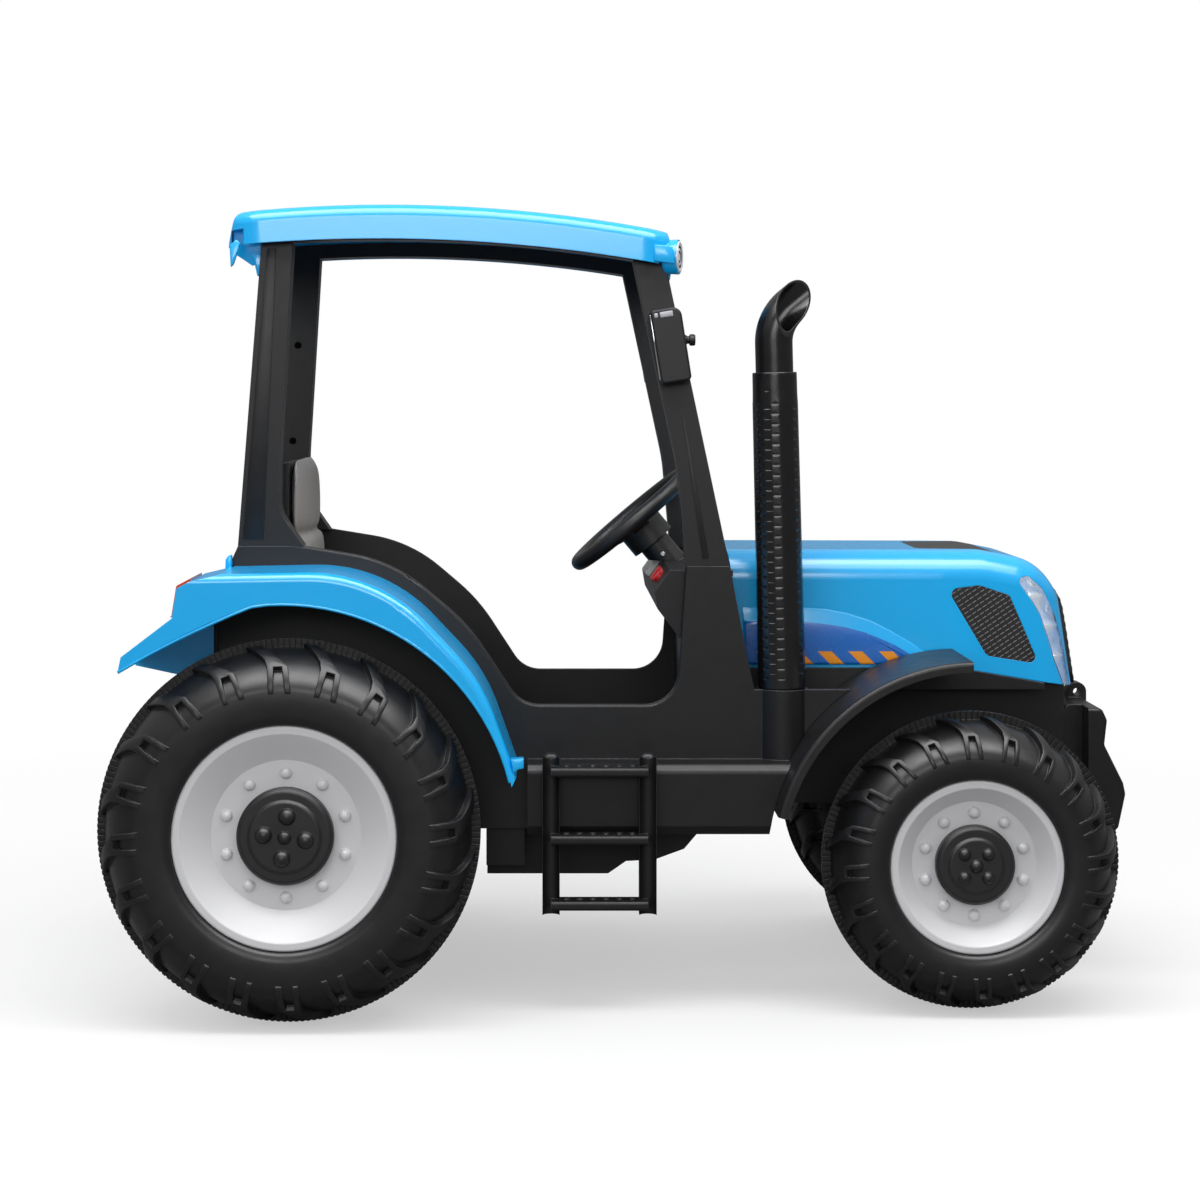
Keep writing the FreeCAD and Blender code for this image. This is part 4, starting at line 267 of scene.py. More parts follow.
def tyre(name, body, centre, radius, half, shoulder, bead, size, first):
    """Tyre with forked lugs and a toothed middle band; size scales the lugs, first turns them."""
    crown = radius - TREAD_H
    wall = half - WALL_INSET
    drop = crown - shoulder
    bow = (wall ** 2 + drop ** 2) / (2 * drop)
    brow = math.asin(wall / bow)
    bm = bmesh.new()
    lean = [brow * i / ARC_STEPS for i in range(ARC_STEPS + 1)]
    arc = [(bow * math.sin(angle), crown - bow + bow * math.cos(angle)) for angle in lean]
    side = [(wall + 1.3, shoulder - 8), (wall + 1.9, shoulder - 0.45 * (shoulder - bead)),
            (wall + 1.2, bead + 13), (wall - 0.5, bead + 5), (wall - 3.5, bead + 1.5), (wall - 6, bead)]
    outer = arc + side
    inner = [(wall - 12, bead), (wall - 10, bead + 16), (wall - 8, shoulder - 6), (wall * 0.5, crown - 16)]
    right = outer[1:] + inner
    left = [(-across, out) for across, out in right[::-1]]
    spun(bm, left + [outer[0]] + right + [(0, crown - 10)], centre, CARCASS_STEPS)

    def laid(u, v, w, flank):
        """Point on the tread: u round it, v across it from the middle and w above the rubber, in mm."""
        along = min(v / bow, brow)
        past = max(v / bow - brow, 0) * bow
        across = (bow + w) * math.sin(along) + past * 0.16
        out = crown - bow + (bow + w) * math.cos(along) - past * 0.98
        angle = math.radians(first) + u / crown
        if flank > 0:
            angle += math.pi / LUGS
        return centre + Vector((out * math.cos(angle), flank * min(across, half - 0.2),
                                out * math.sin(angle))) * MM

    teeth = round(radius / TOOTH_GAP)
    pitch = 2 * math.pi / teeth
    for flank in (-1, 1):
        lug = flat_lug(size, bow * brow / LUG_SHOULDER)
        for spot in lug.verts:
            spot.co = laid(spot.co.x, spot.co.y, spot.co.z, flank)
        repeated(lug, centre, LUGS)
        joined(bm, lug)
        tooth = bmesh.new()
        bmesh.ops.create_cube(tooth, size=1.0)
        size_of = Matrix.Diagonal((radius * pitch * TOOTH_SHARE * MM, TOOTH_W * MM, TOOTH_H * MM, 1))
        lift = Matrix.Translation(Vector((0, flank * TOOTH_Y, radius - TOOTH_SINK)) * MM)
        step = Matrix.Translation(centre) @ Matrix.Rotation(pitch / 4 * flank, 4, "Y")
        bmesh.ops.transform(tooth, verts=tooth.verts, matrix=step @ lift @ size_of)
        repeated(tooth, centre, teeth)
        joined(bm, tooth)
    return finished(name, bm, tyre_black, body)


for side, sign in SIDES:
    for end, (x, y, radius, *form) in AXLES.items():
        wheel = side + "_" + end
        centre = Vector((x, sign * y, radius)) * MM
        piece = tyre(wheel + "_lugged_tyre", wheel + "_wheel", centre, radius, *form)
        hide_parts(wheel + "_tyre")
        dress(tyre_black, wheel + "_tyre")
        dress(rim_white, wheel + "_rim")
        dress(cap_black, wheel + "_hub_cap")


# Hood
# One blue gloss moulding over the nose with a raised panel low on each side that carries a dark blue
# band and orange bars. Grilles, vent and lamps are set into it from behind.
gloss_blue = moulded("gloss blue", (0.0, 0.425, 0.900), 0.24, drift=0.08, spread=0.08, grain=500.0,
                     dent=0.004, wear_and_highlight=0.15, round_off=1.6, coat_weight=0.3, coat_roughness=0.06)
band_blue = moulded("banded blue", (0.002, 0.140, 0.560), 0.27, drift=0.08, spread=0.08, grain=500.0,
                    dent=0.004, wear_and_highlight=0.1, round_off=1.6, coat_weight=0.35, coat_roughness=0.08)
dress(gloss_blue, "hood")

# The slanted bars, in metres: where they start, their pitch and width, and the corner that they stay in.
BAR_ORANGE = (0.93, 0.32, 0.003, 1)
BAR_START = 0.699
BAR_PITCH = 0.0407
BAR_SHARE = 0.46
BAR_TOP = 0.444
BAR_REAR = 0.17
# The raised panel's foot on the hood and its face, as (x, z) in mm.
PANEL_FOOT = [(156, 504), (200, 504), (240, 503), (268, 501), (295, 496), (326, 486), (352, 473), (378, 458),
              (402, 442), (418, 428), (418, 425), (156, 425)]
PANEL_FACE = [(158, 482), (200, 482), (240, 481), (268, 478), (292, 474), (318, 467), (338, 459), (358, 450),
              (376, 440), (388, 430), (388, 427), (158, 427)]
PANEL_FOOT_Y = 136.6
PANEL_FACE_Y = 141.5
PANEL_EASE = 3.0

tree = band_blue.node_tree
paint = tree.nodes["Principled BSDF"].inputs["Base Color"]
where = put(tree, "ShaderNodeTexCoord", {}).outputs["Object"]
spot = put(tree, "ShaderNodeSeparateXYZ", {0: where}).outputs
slant = calc(tree, "SUBTRACT", calc(tree, "ADD", spot["X"], spot["Z"]), BAR_START)
slant = calc(tree, "FLOORED_MODULO", calc(tree, "DIVIDE", slant, BAR_PITCH), 1.0)
below = calc(tree, "LESS_THAN", spot["Z"], BAR_TOP)
ahead = calc(tree, "GREATER_THAN", spot["X"], BAR_REAR)
bars = calc(tree, "MULTIPLY", calc(tree, "LESS_THAN", slant, BAR_SHARE), calc(tree, "MULTIPLY", below, ahead))
mixed = put(tree, "ShaderNodeMix", {0: bars, 6: paint.links[0].from_socket, 7: BAR_ORANGE}, data_type="RGBA")
tree.links.new(mixed.outputs[2], paint)

for side, sign in SIDES:
    bm = bmesh.new()
    foot = [bm.verts.new(Vector((x, sign * PANEL_FOOT_Y, z)) * MM) for x, z in PANEL_FOOT]
    head = [bm.verts.new(Vector((x, sign * PANEL_FACE_Y, z)) * MM) for x, z in PANEL_FACE]
    loops = [[bm.edges.new((row[i - 1], row[i])) for i in range(len(row))] for row in (foot, head)]
    bmesh.ops.bridge_loops(bm, edges=loops[0] + loops[1])
    field = bm.faces.new(head)
    bm.faces.new(foot[::-1])
    field.material_index = 1
    eased(bm, loops[1], PANEL_EASE * MM, 3)
    piece = finished(side + "_hood_panel", bm, gloss_blue, "chassis", 40.0)
    piece.data.materials.append(band_blue)


# Hood inserts
# Black pressed grilles at the sides and nose with rows of short raised bars, a plain vent on top, and
# two crescent lamps: a clear lens over a row of plated bowls that glow faintly, a painted light in
# place of the light that the lens keeps from them.
grille_black = moulded("grille black", (0.004, 0.004, 0.005), 0.5, wear_and_highlight=1.0, round_off=0.5)
bar_grey = moulded("grille bar grey", (0.16, 0.16, 0.17), 0.32, wear_and_highlight=0.3, round_off=0.4)
lens_clear = moulded("lens clear", (0.93, 0.96, 1.0), 0.05, drift=0.02, spread=0.04, grain=90.0, dent=0.02,
                     wear_and_highlight=0.0, round_off=1.2, transmission_weight=1.0)
# The bowls glow: painted light, not a lit lamp.
painted_glow_plate = moulded("plate with painted glow", (0.86, 0.87, 0.88), 0.18, drift=0.5, spread=0.2, grain=160.0, dent=0.3,
                 wear_and_highlight=0.0, metallic=0.45, emission_color=(0.62, 0.66, 0.70, 1), emission_strength=0.32)
dress(grille_black, "hood_grilles", "front_grille")
dress(lens_clear, "headlight_lenses")
dress(painted_glow_plate, "headlight_reflectors")

# Rows of bars in mm: pitch and width of the rows, step and length of the bars in them, and their height.
SIDE_BARS = {"pitch": 6.2, "width": 1.1, "step": 8.4, "length": 6.0, "height": 0.8}
NOSE_BARS = {"pitch": 12.0, "width": 4.5, "step": 24.0, "length": 20.0, "height": 0.5}
SIDE_SLOPE = math.radians(33)
SIDE_FROM_Y = 60
BOWL_FOOT_Z = 392
BOWL_PITCH = 41
BOWL_DEPTH = 11
BOWL_CUTS_UP = range(372, 570, 5)
BOWL_CUTS_ACROSS = range(150, 420, 6)


def face_copy(node, outward, wanted):
    """Merged copy of the faces of a CAD node that look outward and whose middle is wanted."""
    bm = bmesh.new()
    bm.from_mesh(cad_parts[node].data)
    bmesh.ops.remove_doubles(bm, verts=bm.verts, dist=0.02 * MM)
    spare = [f for f in bm.faces if f.normal.dot(outward) < 0.35 or not wanted(f.calc_center_median())]
    bmesh.ops.delete(bm, geom=spare, context="FACES")
    return bm


def sliced(bm, across, cuts):
    """Cut a bmesh by planes square to a direction at given distances in mm."""
    for cut in cuts:
        bmesh.ops.bisect_plane(bm, geom=bm.verts[:] + bm.edges[:] + bm.faces[:], dist=0.001 * MM,
                               plane_co=across * cut * MM, plane_no=across)


def dashes(bm, across, along, pitch, width, step, length, height):
    """Turn a face into rows of short raised bars: rows across, dashes along, sizes in mm."""
    for line, gap, bar in ((across, pitch, width), (along, step, length)):
        reach = [spot.co.dot(line) / MM for spot in bm.verts]
        first = math.floor(min(reach) / gap)
        last = math.ceil(max(reach) / gap)
        sliced(bm, line, [k * gap + part for k in range(first, last + 1) for part in (0, bar)])
    spare = []
    for face in bm.faces:
        spot = face.calc_center_median() / MM
        if spot.dot(across) % pitch > width or spot.dot(along) % step > length:
            spare.append(face)
    bmesh.ops.delete(bm, geom=spare, context="FACES")
    bm.normal_update()
    grown = bmesh.ops.extrude_face_region(bm, geom=bm.faces[:], use_keep_orig=True)["geom"]
    lift = {spot: spot.normal.copy() for spot in grown if isinstance(spot, bmesh.types.BMVert)}
    for spot, normal in lift.items():
        spot.co += normal * height * MM


row_line = Vector((-math.sin(SIDE_SLOPE), 0, math.cos(SIDE_SLOPE)))
dash_line = Vector((math.cos(SIDE_SLOPE), 0, math.sin(SIDE_SLOPE)))
for side, sign in SIDES:
    bm = face_copy("hood_grilles", Vector((0, sign, 0)), lambda spot: sign * spot.y > SIDE_FROM_Y * MM)
    dashes(bm, row_line, dash_line, **SIDE_BARS)
    finished(side + "_grille_bars", bm, bar_grey, "chassis", 20.0)
bm = face_copy("front_grille", Vector((1, 0, 0.3)), lambda spot: True)
dashes(bm, Vector((0, 0, 1)), Vector((0, 1, 0)), **NOSE_BARS)
finished("nose_grille_bars", bm, grille_black, "chassis", 20.0)

for side, sign in SIDES:
    outward = Vector((0.7, 0.7 * sign, 0))
    bm = face_copy("headlight_reflectors", outward, lambda spot: sign * spot.y > 0)
    sliced(bm, Vector((0, 0, 1)), BOWL_CUTS_UP)
    sliced(bm, Vector((0.7, -0.7 * sign, 0)), BOWL_CUTS_ACROSS)
    bm.normal_update()
    for spot in bm.verts:
        along = (spot.co.z / MM - BOWL_FOOT_Z) / BOWL_PITCH * math.pi
        depth = 0 if spot.is_boundary else BOWL_DEPTH * abs(math.sin(along))
        spot.co -= spot.normal * depth * MM
    piece = finished(side + "_lamp_bowls", bm, painted_glow_plate, "chassis", 50.0)
    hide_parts("headlight_reflectors")


# Fenders
# Blue rear fenders bolted to the tub over the big wheels, with lamps in their tails and a bead along
# their lip, and black front fenders over the steered wheels.
# Its edges are lightened: a painted highlight along the lip.
fender_black = moulded("fender black", (0.007, 0.007, 0.008), 0.40, wear_and_highlight=8.0, shine=0.35)
tail_red = moulded("tail lens red", (0.68, 0.055, 0.010), 0.14, drift=0.3, grain=300.0, dent=0.08, wear_and_highlight=0.2,
                   coat_weight=0.5)
dress(gloss_blue, "left_rear_fender", "right_rear_fender")
dress(fender_black, "left_front_fender", "right_front_fender")
dress(tail_red, "tail_lamps")

# Plates are rows of a side outline as (x, z), the y where it starts and ends, and its ease, all in mm.
FENDER_PLATES = [([(-149, 333), (-133, 334), (-133, 322), (-140, 321), (-146, 316)], 342, 364, 1.2),
                 ([(-519.5, 556), (-511.5, 556), (-511.5, 577), (-515, 577), (-519, 572)], 217, 231, 1.2)]
WALL_PLATES = [([(-538, 424), (-530, 424), (-530, 508), (-538, 508)], 215.2, 216.8, 0.5)]
TAIL_LIP = [(-635, 441), (-615, 452.5), (-594, 464.5), (-562, 481), (-538, 492.5), (-515, 503), (-491, 513.5),
            (-470, 522)]
ARCH_MIDDLE = Vector((-431.8, 234.8))
ARCH_R = 290.4
ARCH_START = 97
ARCH_SWEEP = 83
ARCH_STEPS = 24
LIP_Y = 364.6
BEAD_R = 2.0


def plates(rows, sign):
    """Bmesh of plates on one side of the tractor, each a side outline given a thickness and eased edges."""
    bm = bmesh.new()
    for outline, inner, outer, ease in rows:
        part = bmesh.new()
        face = part.faces.new([part.verts.new(Vector((x, sign * inner, z)) * MM) for x, z in outline])
        grown = bmesh.ops.extrude_face_region(part, geom=[face], use_keep_orig=True)["geom"]
        far = [v for v in grown if isinstance(v, bmesh.types.BMVert)]
        bmesh.ops.translate(part, verts=far, vec=Vector((0, sign * (outer - inner) * MM, 0)))
        bmesh.ops.recalc_face_normals(part, faces=part.faces)
        eased(part, part.edges[:], ease * MM, 2)
        joined(bm, part)
    return bm


def tube(bm, points, radius, sides=10):
    """Add a round bead through points in mm that lie in an upright plane along the tractor."""
    rings = []
    for i, point in enumerate(points):
        way = (points[min(i + 1, len(points) - 1)] - points[max(i - 1, 0)]).normalized()
        out = Vector((-way.z, 0, way.x))
        ring = []
        for k in range(sides):
            angle = 2 * math.pi * k / sides
            spoke = out * math.cos(angle) + Vector((0, math.sin(angle), 0))
            ring.append(bm.verts.new((point + spoke * radius) * MM))
        rings.append(ring)
    for one, two in zip(rings, rings[1:]):
        for k in range(sides):
            bm.faces.new((one[k - 1], one[k], two[k], two[k - 1]))
    bm.faces.new(rings[0])
    bm.faces.new(rings[-1][::-1])


lip = list(TAIL_LIP)
for step in range(1, ARCH_STEPS + 1):
    angle = math.radians(ARCH_START - ARCH_SWEEP * step / ARCH_STEPS)
    lip.append(tuple(ARCH_MIDDLE + Vector((math.cos(angle), math.sin(angle))) * ARCH_R))
for side, sign in SIDES:
    bm = plates(FENDER_PLATES, sign)
    tube(bm, [Vector((x, sign * LIP_Y, z)) for x, z in lip], BEAD_R)
    finished(side + "_fender_edge", bm, gloss_blue, "chassis", 40.0)
    finished(side + "_wall_flange", plates(WALL_PLATES, sign), tub_black, "chassis", 40.0)


# Cab and roof
# Two black side frames stand on the tub and carry the blue roof shell, which has round lamps in blue
# cups at its front corners. A black mirror with a knob turns on a pin in each front pillar; pale plates
# along its top are a painted highlight.
# Its edges are lightened strongly: a painted highlight along the doorway and pillar lips.
cab_black = moulded("cab black", (0.007, 0.007, 0.008), 0.42, wear_and_highlight=16.0, round_off=1.6, shine=0.3)
lamp_white = moulded("lamp white", (0.72, 0.73, 0.75), 0.18, drift=0.06, grain=240.0, dent=0.04, wear_and_highlight=0.05)
lamp_dark = moulded("lamp dark", (0.030, 0.028, 0.034), 0.25, wear_and_highlight=0.3)
painted_highlight_trim = moulded("painted highlight trim", (0.42, 0.41, 0.45), 0.35, drift=0.1, wear_and_highlight=0.1)
glass = moulded("mirror glass", (0.75, 0.77, 0.80), 0.05, drift=0.05, spread=0.05, grain=60.0, dent=0.002,
                wear_and_highlight=0.0, metallic=1.0)
# Near black and dull: painted shade for the inside of the screw holes.
painted_hole_shade = moulded("painted hole shade", (0.001, 0.001, 0.001), 0.9, wear_and_highlight=0.0, shine=0.05)
dress(cab_black, "left_cab_frame", "right_cab_frame", "left_mirror", "right_mirror")
dress(gloss_blue, "roof_shell")
dress(lamp_white, "roof_lamps")

# Turned pieces are lines of (radius, along the axis) in mm that start and end on the axis.
LENS_LINE = [(0, 3.6), (4.5, 4.0), (5.2, 3.0), (7.6, 3.0), (8.2, 4.2), (11.0, 4.2), (11.6, 3.2), (14.2, 3.2),
             (15.0, 4.4), (18.5, 5.4), (20.4, 4.6), (20.8, 3.0), (20.8, -6.0), (0, -6.0)]
DARK_RINGS = ((4.9, 7.9), (11.3, 14.6))
CUP_LINE = [(0, -18), (14, -18), (19, -16), (22.0, -11), (22.8, 2.4), (22.4, 3.4), (21.2, 3.4), (20.9, 2.0),
            (20.9, -8), (0, -8)]
LAMP_PLACE = (64, 214, 963)
LAMP_TURN = math.radians(14)
ROOF_PLATES = [([(-513, 977), (-504, 984), (-499, 980), (-508, 953), (-511.5, 949)], 228, 238, 0.8),
               ([(-511, 1000), (-474, 1000), (-474, 956), (-487, 952), (-500, 961), (-511, 968)],
                204, 210, 0.8),
               ([(-486, 966), (-474.5, 968), (-474.5, 941), (-480, 938)], 192, 214, 1.5),
               ([(50, 962), (61, 962), (61, 944), (52, 942)], 186, 202, 1.0),
               ([(48, 956), (60, 956), (57, 934), (52, 930), (48, 931)], 160, 184, 1.5),
               ([(34, 956.4), (34, 978), (57, 976), (60, 966), (60, 953), (52, 954)], 224, 239, 1.5)]
PILLAR_PLATES = [([(-499, 597), (-471.5, 597), (-455, 974), (-467, 974)], 214.6, 216.2, 0.6),
                 ([(71, 760), (73, 760), (106.4, 572), (97, 572)], 214.6, 216.0, 0.6)]
SCREW_LINE = [(0, 0.4), (4.6, 0.4), (5.2, 0.1), (5.2, -1), (0, -1)]
SCREW_PLACES = ((-466.3, 856.5), (-473.7, 717.4))
SCREW_Y = 176.9
# Pale plates along the mirror's top: a painted highlight of the bright band there.
HIGHLIGHT_PLATES = [([(47, 884.5), (64, 884.5), (64, 892), (47, 892)], 248, 250.8, 1.2),
               ([(39.5, 885.5), (44.5, 885.5), (44.5, 891.5), (39.5, 891.5)], 248, 250.6, 1.0)]
GLASS_PLATES = [([(34.2, 806), (36, 806), (36, 890), (34.2, 890)], 223, 247, 0.4)]
MIRROR_MIDDLE = Vector((55, 0, 848))
MIRROR_LEAN = math.radians(-9)
KNOB_LINE = [(0, 0), (6.5, 0), (6.5, 5), (5, 7), (5, 9), (7.4, 10), (7.6, 15), (6.4, 17), (0, 17)]
KNOB_PLACE = (70, 234, 855)


def turned(profile, place, axis, steps=40):
    """Bmesh spun round its own axis from (radius, along) points in mm that start and end on the axis."""
    bm = bmesh.new()
    spots = [bm.verts.new(Vector((radius, 0, along)) * MM) for radius, along in profile]
    chain = [bm.edges.new(pair) for pair in zip(spots, spots[1:])]
    bmesh.ops.spin(bm, geom=spots + chain, cent=(0, 0, 0), axis=(0, 0, 1), angle=2 * math.pi, steps=steps,
                   use_merge=True)
    turn = Vector((0, 0, 1)).rotation_difference(Vector(axis)).to_matrix().to_4x4()
    bmesh.ops.transform(bm, verts=bm.verts, matrix=Matrix.Translation(Vector(place) * MM) @ turn)
    return bm


def on_side(place, sign):
    """Place on one side of the tractor."""
    x, y, z = place
    return Vector((x, sign * y, z))


pivot = Matrix.Translation(MIRROR_MIDDLE * MM)
lean = pivot @ Matrix.Rotation(MIRROR_LEAN, 4, "Y") @ pivot.inverted()
for side, sign in SIDES:
    facing = Vector((math.cos(LAMP_TURN), sign * math.sin(LAMP_TURN), 0))
    middle = on_side(LAMP_PLACE, sign)
    bm = turned(LENS_LINE, middle, facing)
    for face in bm.faces:
        off = face.calc_center_median() - middle * MM
        reach = (off - facing * off.dot(facing)).length / MM
        if any(inner < reach < outer for inner, outer in DARK_RINGS):
            face.material_index = 1
    piece = finished(side + "_roof_lamp", bm, lamp_white, "chassis")
    piece.data.materials.append(lamp_dark)
    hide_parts("roof_lamps")
    finished(side + "_lamp_cup", turned(CUP_LINE, middle, facing), gloss_blue, "chassis")
    finished(side + "_roof_brackets", plates(ROOF_PLATES, sign), gloss_blue, "chassis", 40.0)
    finished(side + "_pillar_pads", plates(PILLAR_PLATES, sign), cab_black, "chassis", 40.0)
    # Flat discs on the far pillars stand for screw holes, darkened with painted shade.
    bm = bmesh.new()
    for x, z in SCREW_PLACES:
        joined(bm, turned(SCREW_LINE, (x, sign * SCREW_Y, z), (0, -sign, 0), 20))
    finished(side + "_pillar_screws", bm, painted_hole_shade, "chassis")
    mirror = side + "_mirror"
    for name, rows, finish, slot in (("_highlight_band", HIGHLIGHT_PLATES, painted_highlight_trim, "black_plastic"),
                                     ("_glass", GLASS_PLATES, glass, "reflector")):
        bm = plates(rows, sign)
        bmesh.ops.transform(bm, verts=bm.verts, matrix=lean)
        finished(mirror + name, bm, finish, mirror, 40.0)
    knob = turned(KNOB_LINE, on_side(KNOB_PLACE, sign), (1, 0, 0))
    finished(mirror + "_knob", knob, cab_black, mirror)


# Exhaust
# A black sleeve with staggered dimples stands in its socket on the right of the nose, and a bent
# pipe with a slashed mouth is pushed into its top.
# Its edges are lightened: a painted highlight on the lips of the dimples.
stack_black = moulded("stack black", (0.006, 0.006, 0.007), 0.24, wear_and_highlight=6.0)
dress(stack_black, "exhaust_sleeve", "exhaust_pipe")

SLEEVE_PLACE = Vector((202.6, -195, 402))
SLEEVE_UP = Vector((-9.8, 0, 412))
SLEEVE_H = 411.8
SLEEVE_R = 31
SLEEVE_TAPER = 1.5
SLEEVE_EDGE = 1.2
SOCKET_R = 26.4
SOCKET_DEPTH = 24
CORE_R = 22.0
OUTSIDE_R = 28.4
COLUMNS = 18
COLUMN_TURN = 2 * math.pi / COLUMNS
COLUMN_HALF = 5.2
FIRST_ANGLE = math.radians(-16)
ROWS = 56
ROW_PITCH = 6.6
FIRST_ROW = 8
TOP_BAND = 398
PLAIN_COLUMNS = (1, 2, 10, 11)
HOLE_COLUMN = 17
HOLES = (43, 153, 263)
TOP_HOLE_FROM = 380
TOP_HOLE_ROOM = 18
# Wells are half width, half height and depth in mm; rings are shares of a well's width and depth.
DIMPLE = (5.0, 4.3, 3.4)
HOLE = (4.6, 4.6, 5.0)
TOP_HOLE = (4.6, 4.6, 2.8)
WELL_RINGS = ((1.0, 0.0), (0.88, 0.2), (0.64, 1.0))

levels = [0, SLEEVE_EDGE] + [FIRST_ROW + ROW_PITCH * i for i in range(ROWS + 1)]
levels += [TOP_BAND, SLEEVE_H - SLEEVE_EDGE, SLEEVE_H]
outline = [(SLEEVE_R - SLEEVE_TAPER * z / SLEEVE_H, z) for z in levels]
outline += [(SOCKET_R + 0.2, SLEEVE_H), (SOCKET_R, SLEEVE_H - SLEEVE_EDGE),
            (SOCKET_R, SLEEVE_H - SOCKET_DEPTH), (CORE_R, SLEEVE_H - SOCKET_DEPTH - 1), (CORE_R, 0)]
ahead = Vector((math.sin(FIRST_ANGLE), -math.cos(FIRST_ANGLE), 0))
bm = bmesh.new()
ring = [bm.verts.new((ahead * r + Vector((0, 0, z))) * MM) for r, z in outline]
chain = [bm.edges.new((ring[i - 1], ring[i])) for i in range(len(ring))]
bmesh.ops.spin(bm, geom=ring + chain, cent=(0, 0, 0), axis=(0, 0, 1), angle=2 * math.pi, steps=COLUMNS,
               use_merge=True)


def column_of(spot):
    """Which of the sleeve's upright columns a point is in."""
    return int((math.atan2(spot.x, -spot.y) - FIRST_ANGLE) % (2 * math.pi) / COLUMN_TURN)


def outside(spot):
    """Whether a point is on the outside of the sleeve."""
    return spot.xy.length > OUTSIDE_R * MM


spare = []
for edge in bm.edges:
    a, b = (v.co for v in edge.verts)
    row = (a.z / MM - FIRST_ROW) / ROW_PITCH
    level = abs(a.z - b.z) < 0.01 * MM and outside(a) and outside(b)
    if level and 0.5 < row < ROWS - 0.5 and round(row) % 2 != column_of((a + b) / 2) % 2:
        spare.append(edge)
bmesh.ops.dissolve_edges(bm, edges=spare, use_verts=False)

wells = {}
for face in bm.faces:
    spot = face.calc_center_median()
    heights = [v.co.z / MM for v in face.verts]
    tall = max(heights) - min(heights)
    column = column_of(spot)
    if not outside(spot) or column in PLAIN_COLUMNS:
        continue
    if abs(tall - 2 * ROW_PITCH) < 0.1:
        drilled = column == HOLE_COLUMN and any(abs(spot.z / MM - z) <= ROW_PITCH for z in HOLES)
        wells[face] = (spot, HOLE if drilled else DIMPLE)
    elif column == HOLE_COLUMN and tall > TOP_HOLE_ROOM and spot.z > TOP_HOLE_FROM * MM:
        wells[face] = (spot, TOP_HOLE)
for share, part in WELL_RINGS:
    bmesh.ops.inset_individual(bm, faces=list(wells), thickness=0.3 * MM)
    for face, (spot, (wide, tall, deep)) in wells.items():
        out = Vector((spot.x, spot.y, 0)).normalized()
        sideways = Vector((-out.y, out.x, 0))
        for corner in face.verts:
            off = corner.co - spot
            angle = math.atan2(off.z / ROW_PITCH, off.dot(sideways) / (COLUMN_HALF * MM))
            flat = sideways * wide * math.cos(angle) + Vector((0, 0, 1)) * tall * math.sin(angle)
            corner.co = spot + (flat * share - out * deep * part) * MM
upright = Vector((0, 0, 1)).rotation_difference(SLEEVE_UP).to_matrix().to_4x4()
bmesh.ops.transform(bm, verts=bm.verts, matrix=Matrix.Translation(SLEEVE_PLACE * MM) @ upright)
sleeve = finished("dimpled_sleeve", bm, stack_black, "chassis", 180.0)
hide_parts("exhaust_sleeve")
soft = sleeve.modifiers.new("round", "SUBSURF")
soft.levels = soft.render_levels = 1


# Step ladders
# Black ladders of two posts and three studded treads, screwed to the skirts.
dress(cab_black, "left_step_ladder", "right_step_ladder")


# Seat
# A black shell on the seat box with two taupe leatherette pads. Each pad starts from a drawn-in copy
# of its solid, is blown up as cloth with its travel capped, and is then creased along its channel.
hide = moulded("taupe hide", (0.36, 0.335, 0.315), 0.46, grain=420.0, dent=0.16, wear_and_highlight=0.2)
dress(cab_black, "seat_shell")
dress(hide, "seat_cushion", "back_cushion")

PAD_DRAWN_IN = 4.0
PAD_TRAVEL = 5.0
PAD_VOXEL = 5
PAD_PRESSURE = 4.0
PAD_FRAMES = 20
CHANNEL_W = 4
BACK_CHANNEL_Z = 598
BACK_CHANNEL_DEPTH = 3.5
SEAT_CHANNEL_X = -330
SEAT_CHANNEL_DEPTH = 3.0


def settled(piece, kind):
    """Bake one of a piece's modifiers into its mesh."""
    shape = bpy.data.meshes.new_from_object(piece.evaluated_get(bpy.context.evaluated_depsgraph_get()))
    piece.modifiers.remove(piece.modifiers[kind])
    piece.data = shape


def channel(distance, depth):
    """Depth of a sewn channel at a distance from its middle."""
    return depth * math.exp(-(distance / CHANNEL_W) ** 2)


def back_crease(spot, normal):
    """Crease across the front of the back pad."""
    return channel(spot.z - BACK_CHANNEL_Z, BACK_CHANNEL_DEPTH) if normal.x > 0.3 else 0


def seat_crease(spot, normal):
    """Crease across the top of the seat pad."""
    return channel(spot.x - SEAT_CHANNEL_X, SEAT_CHANNEL_DEPTH) if normal.z > 0.3 else 0


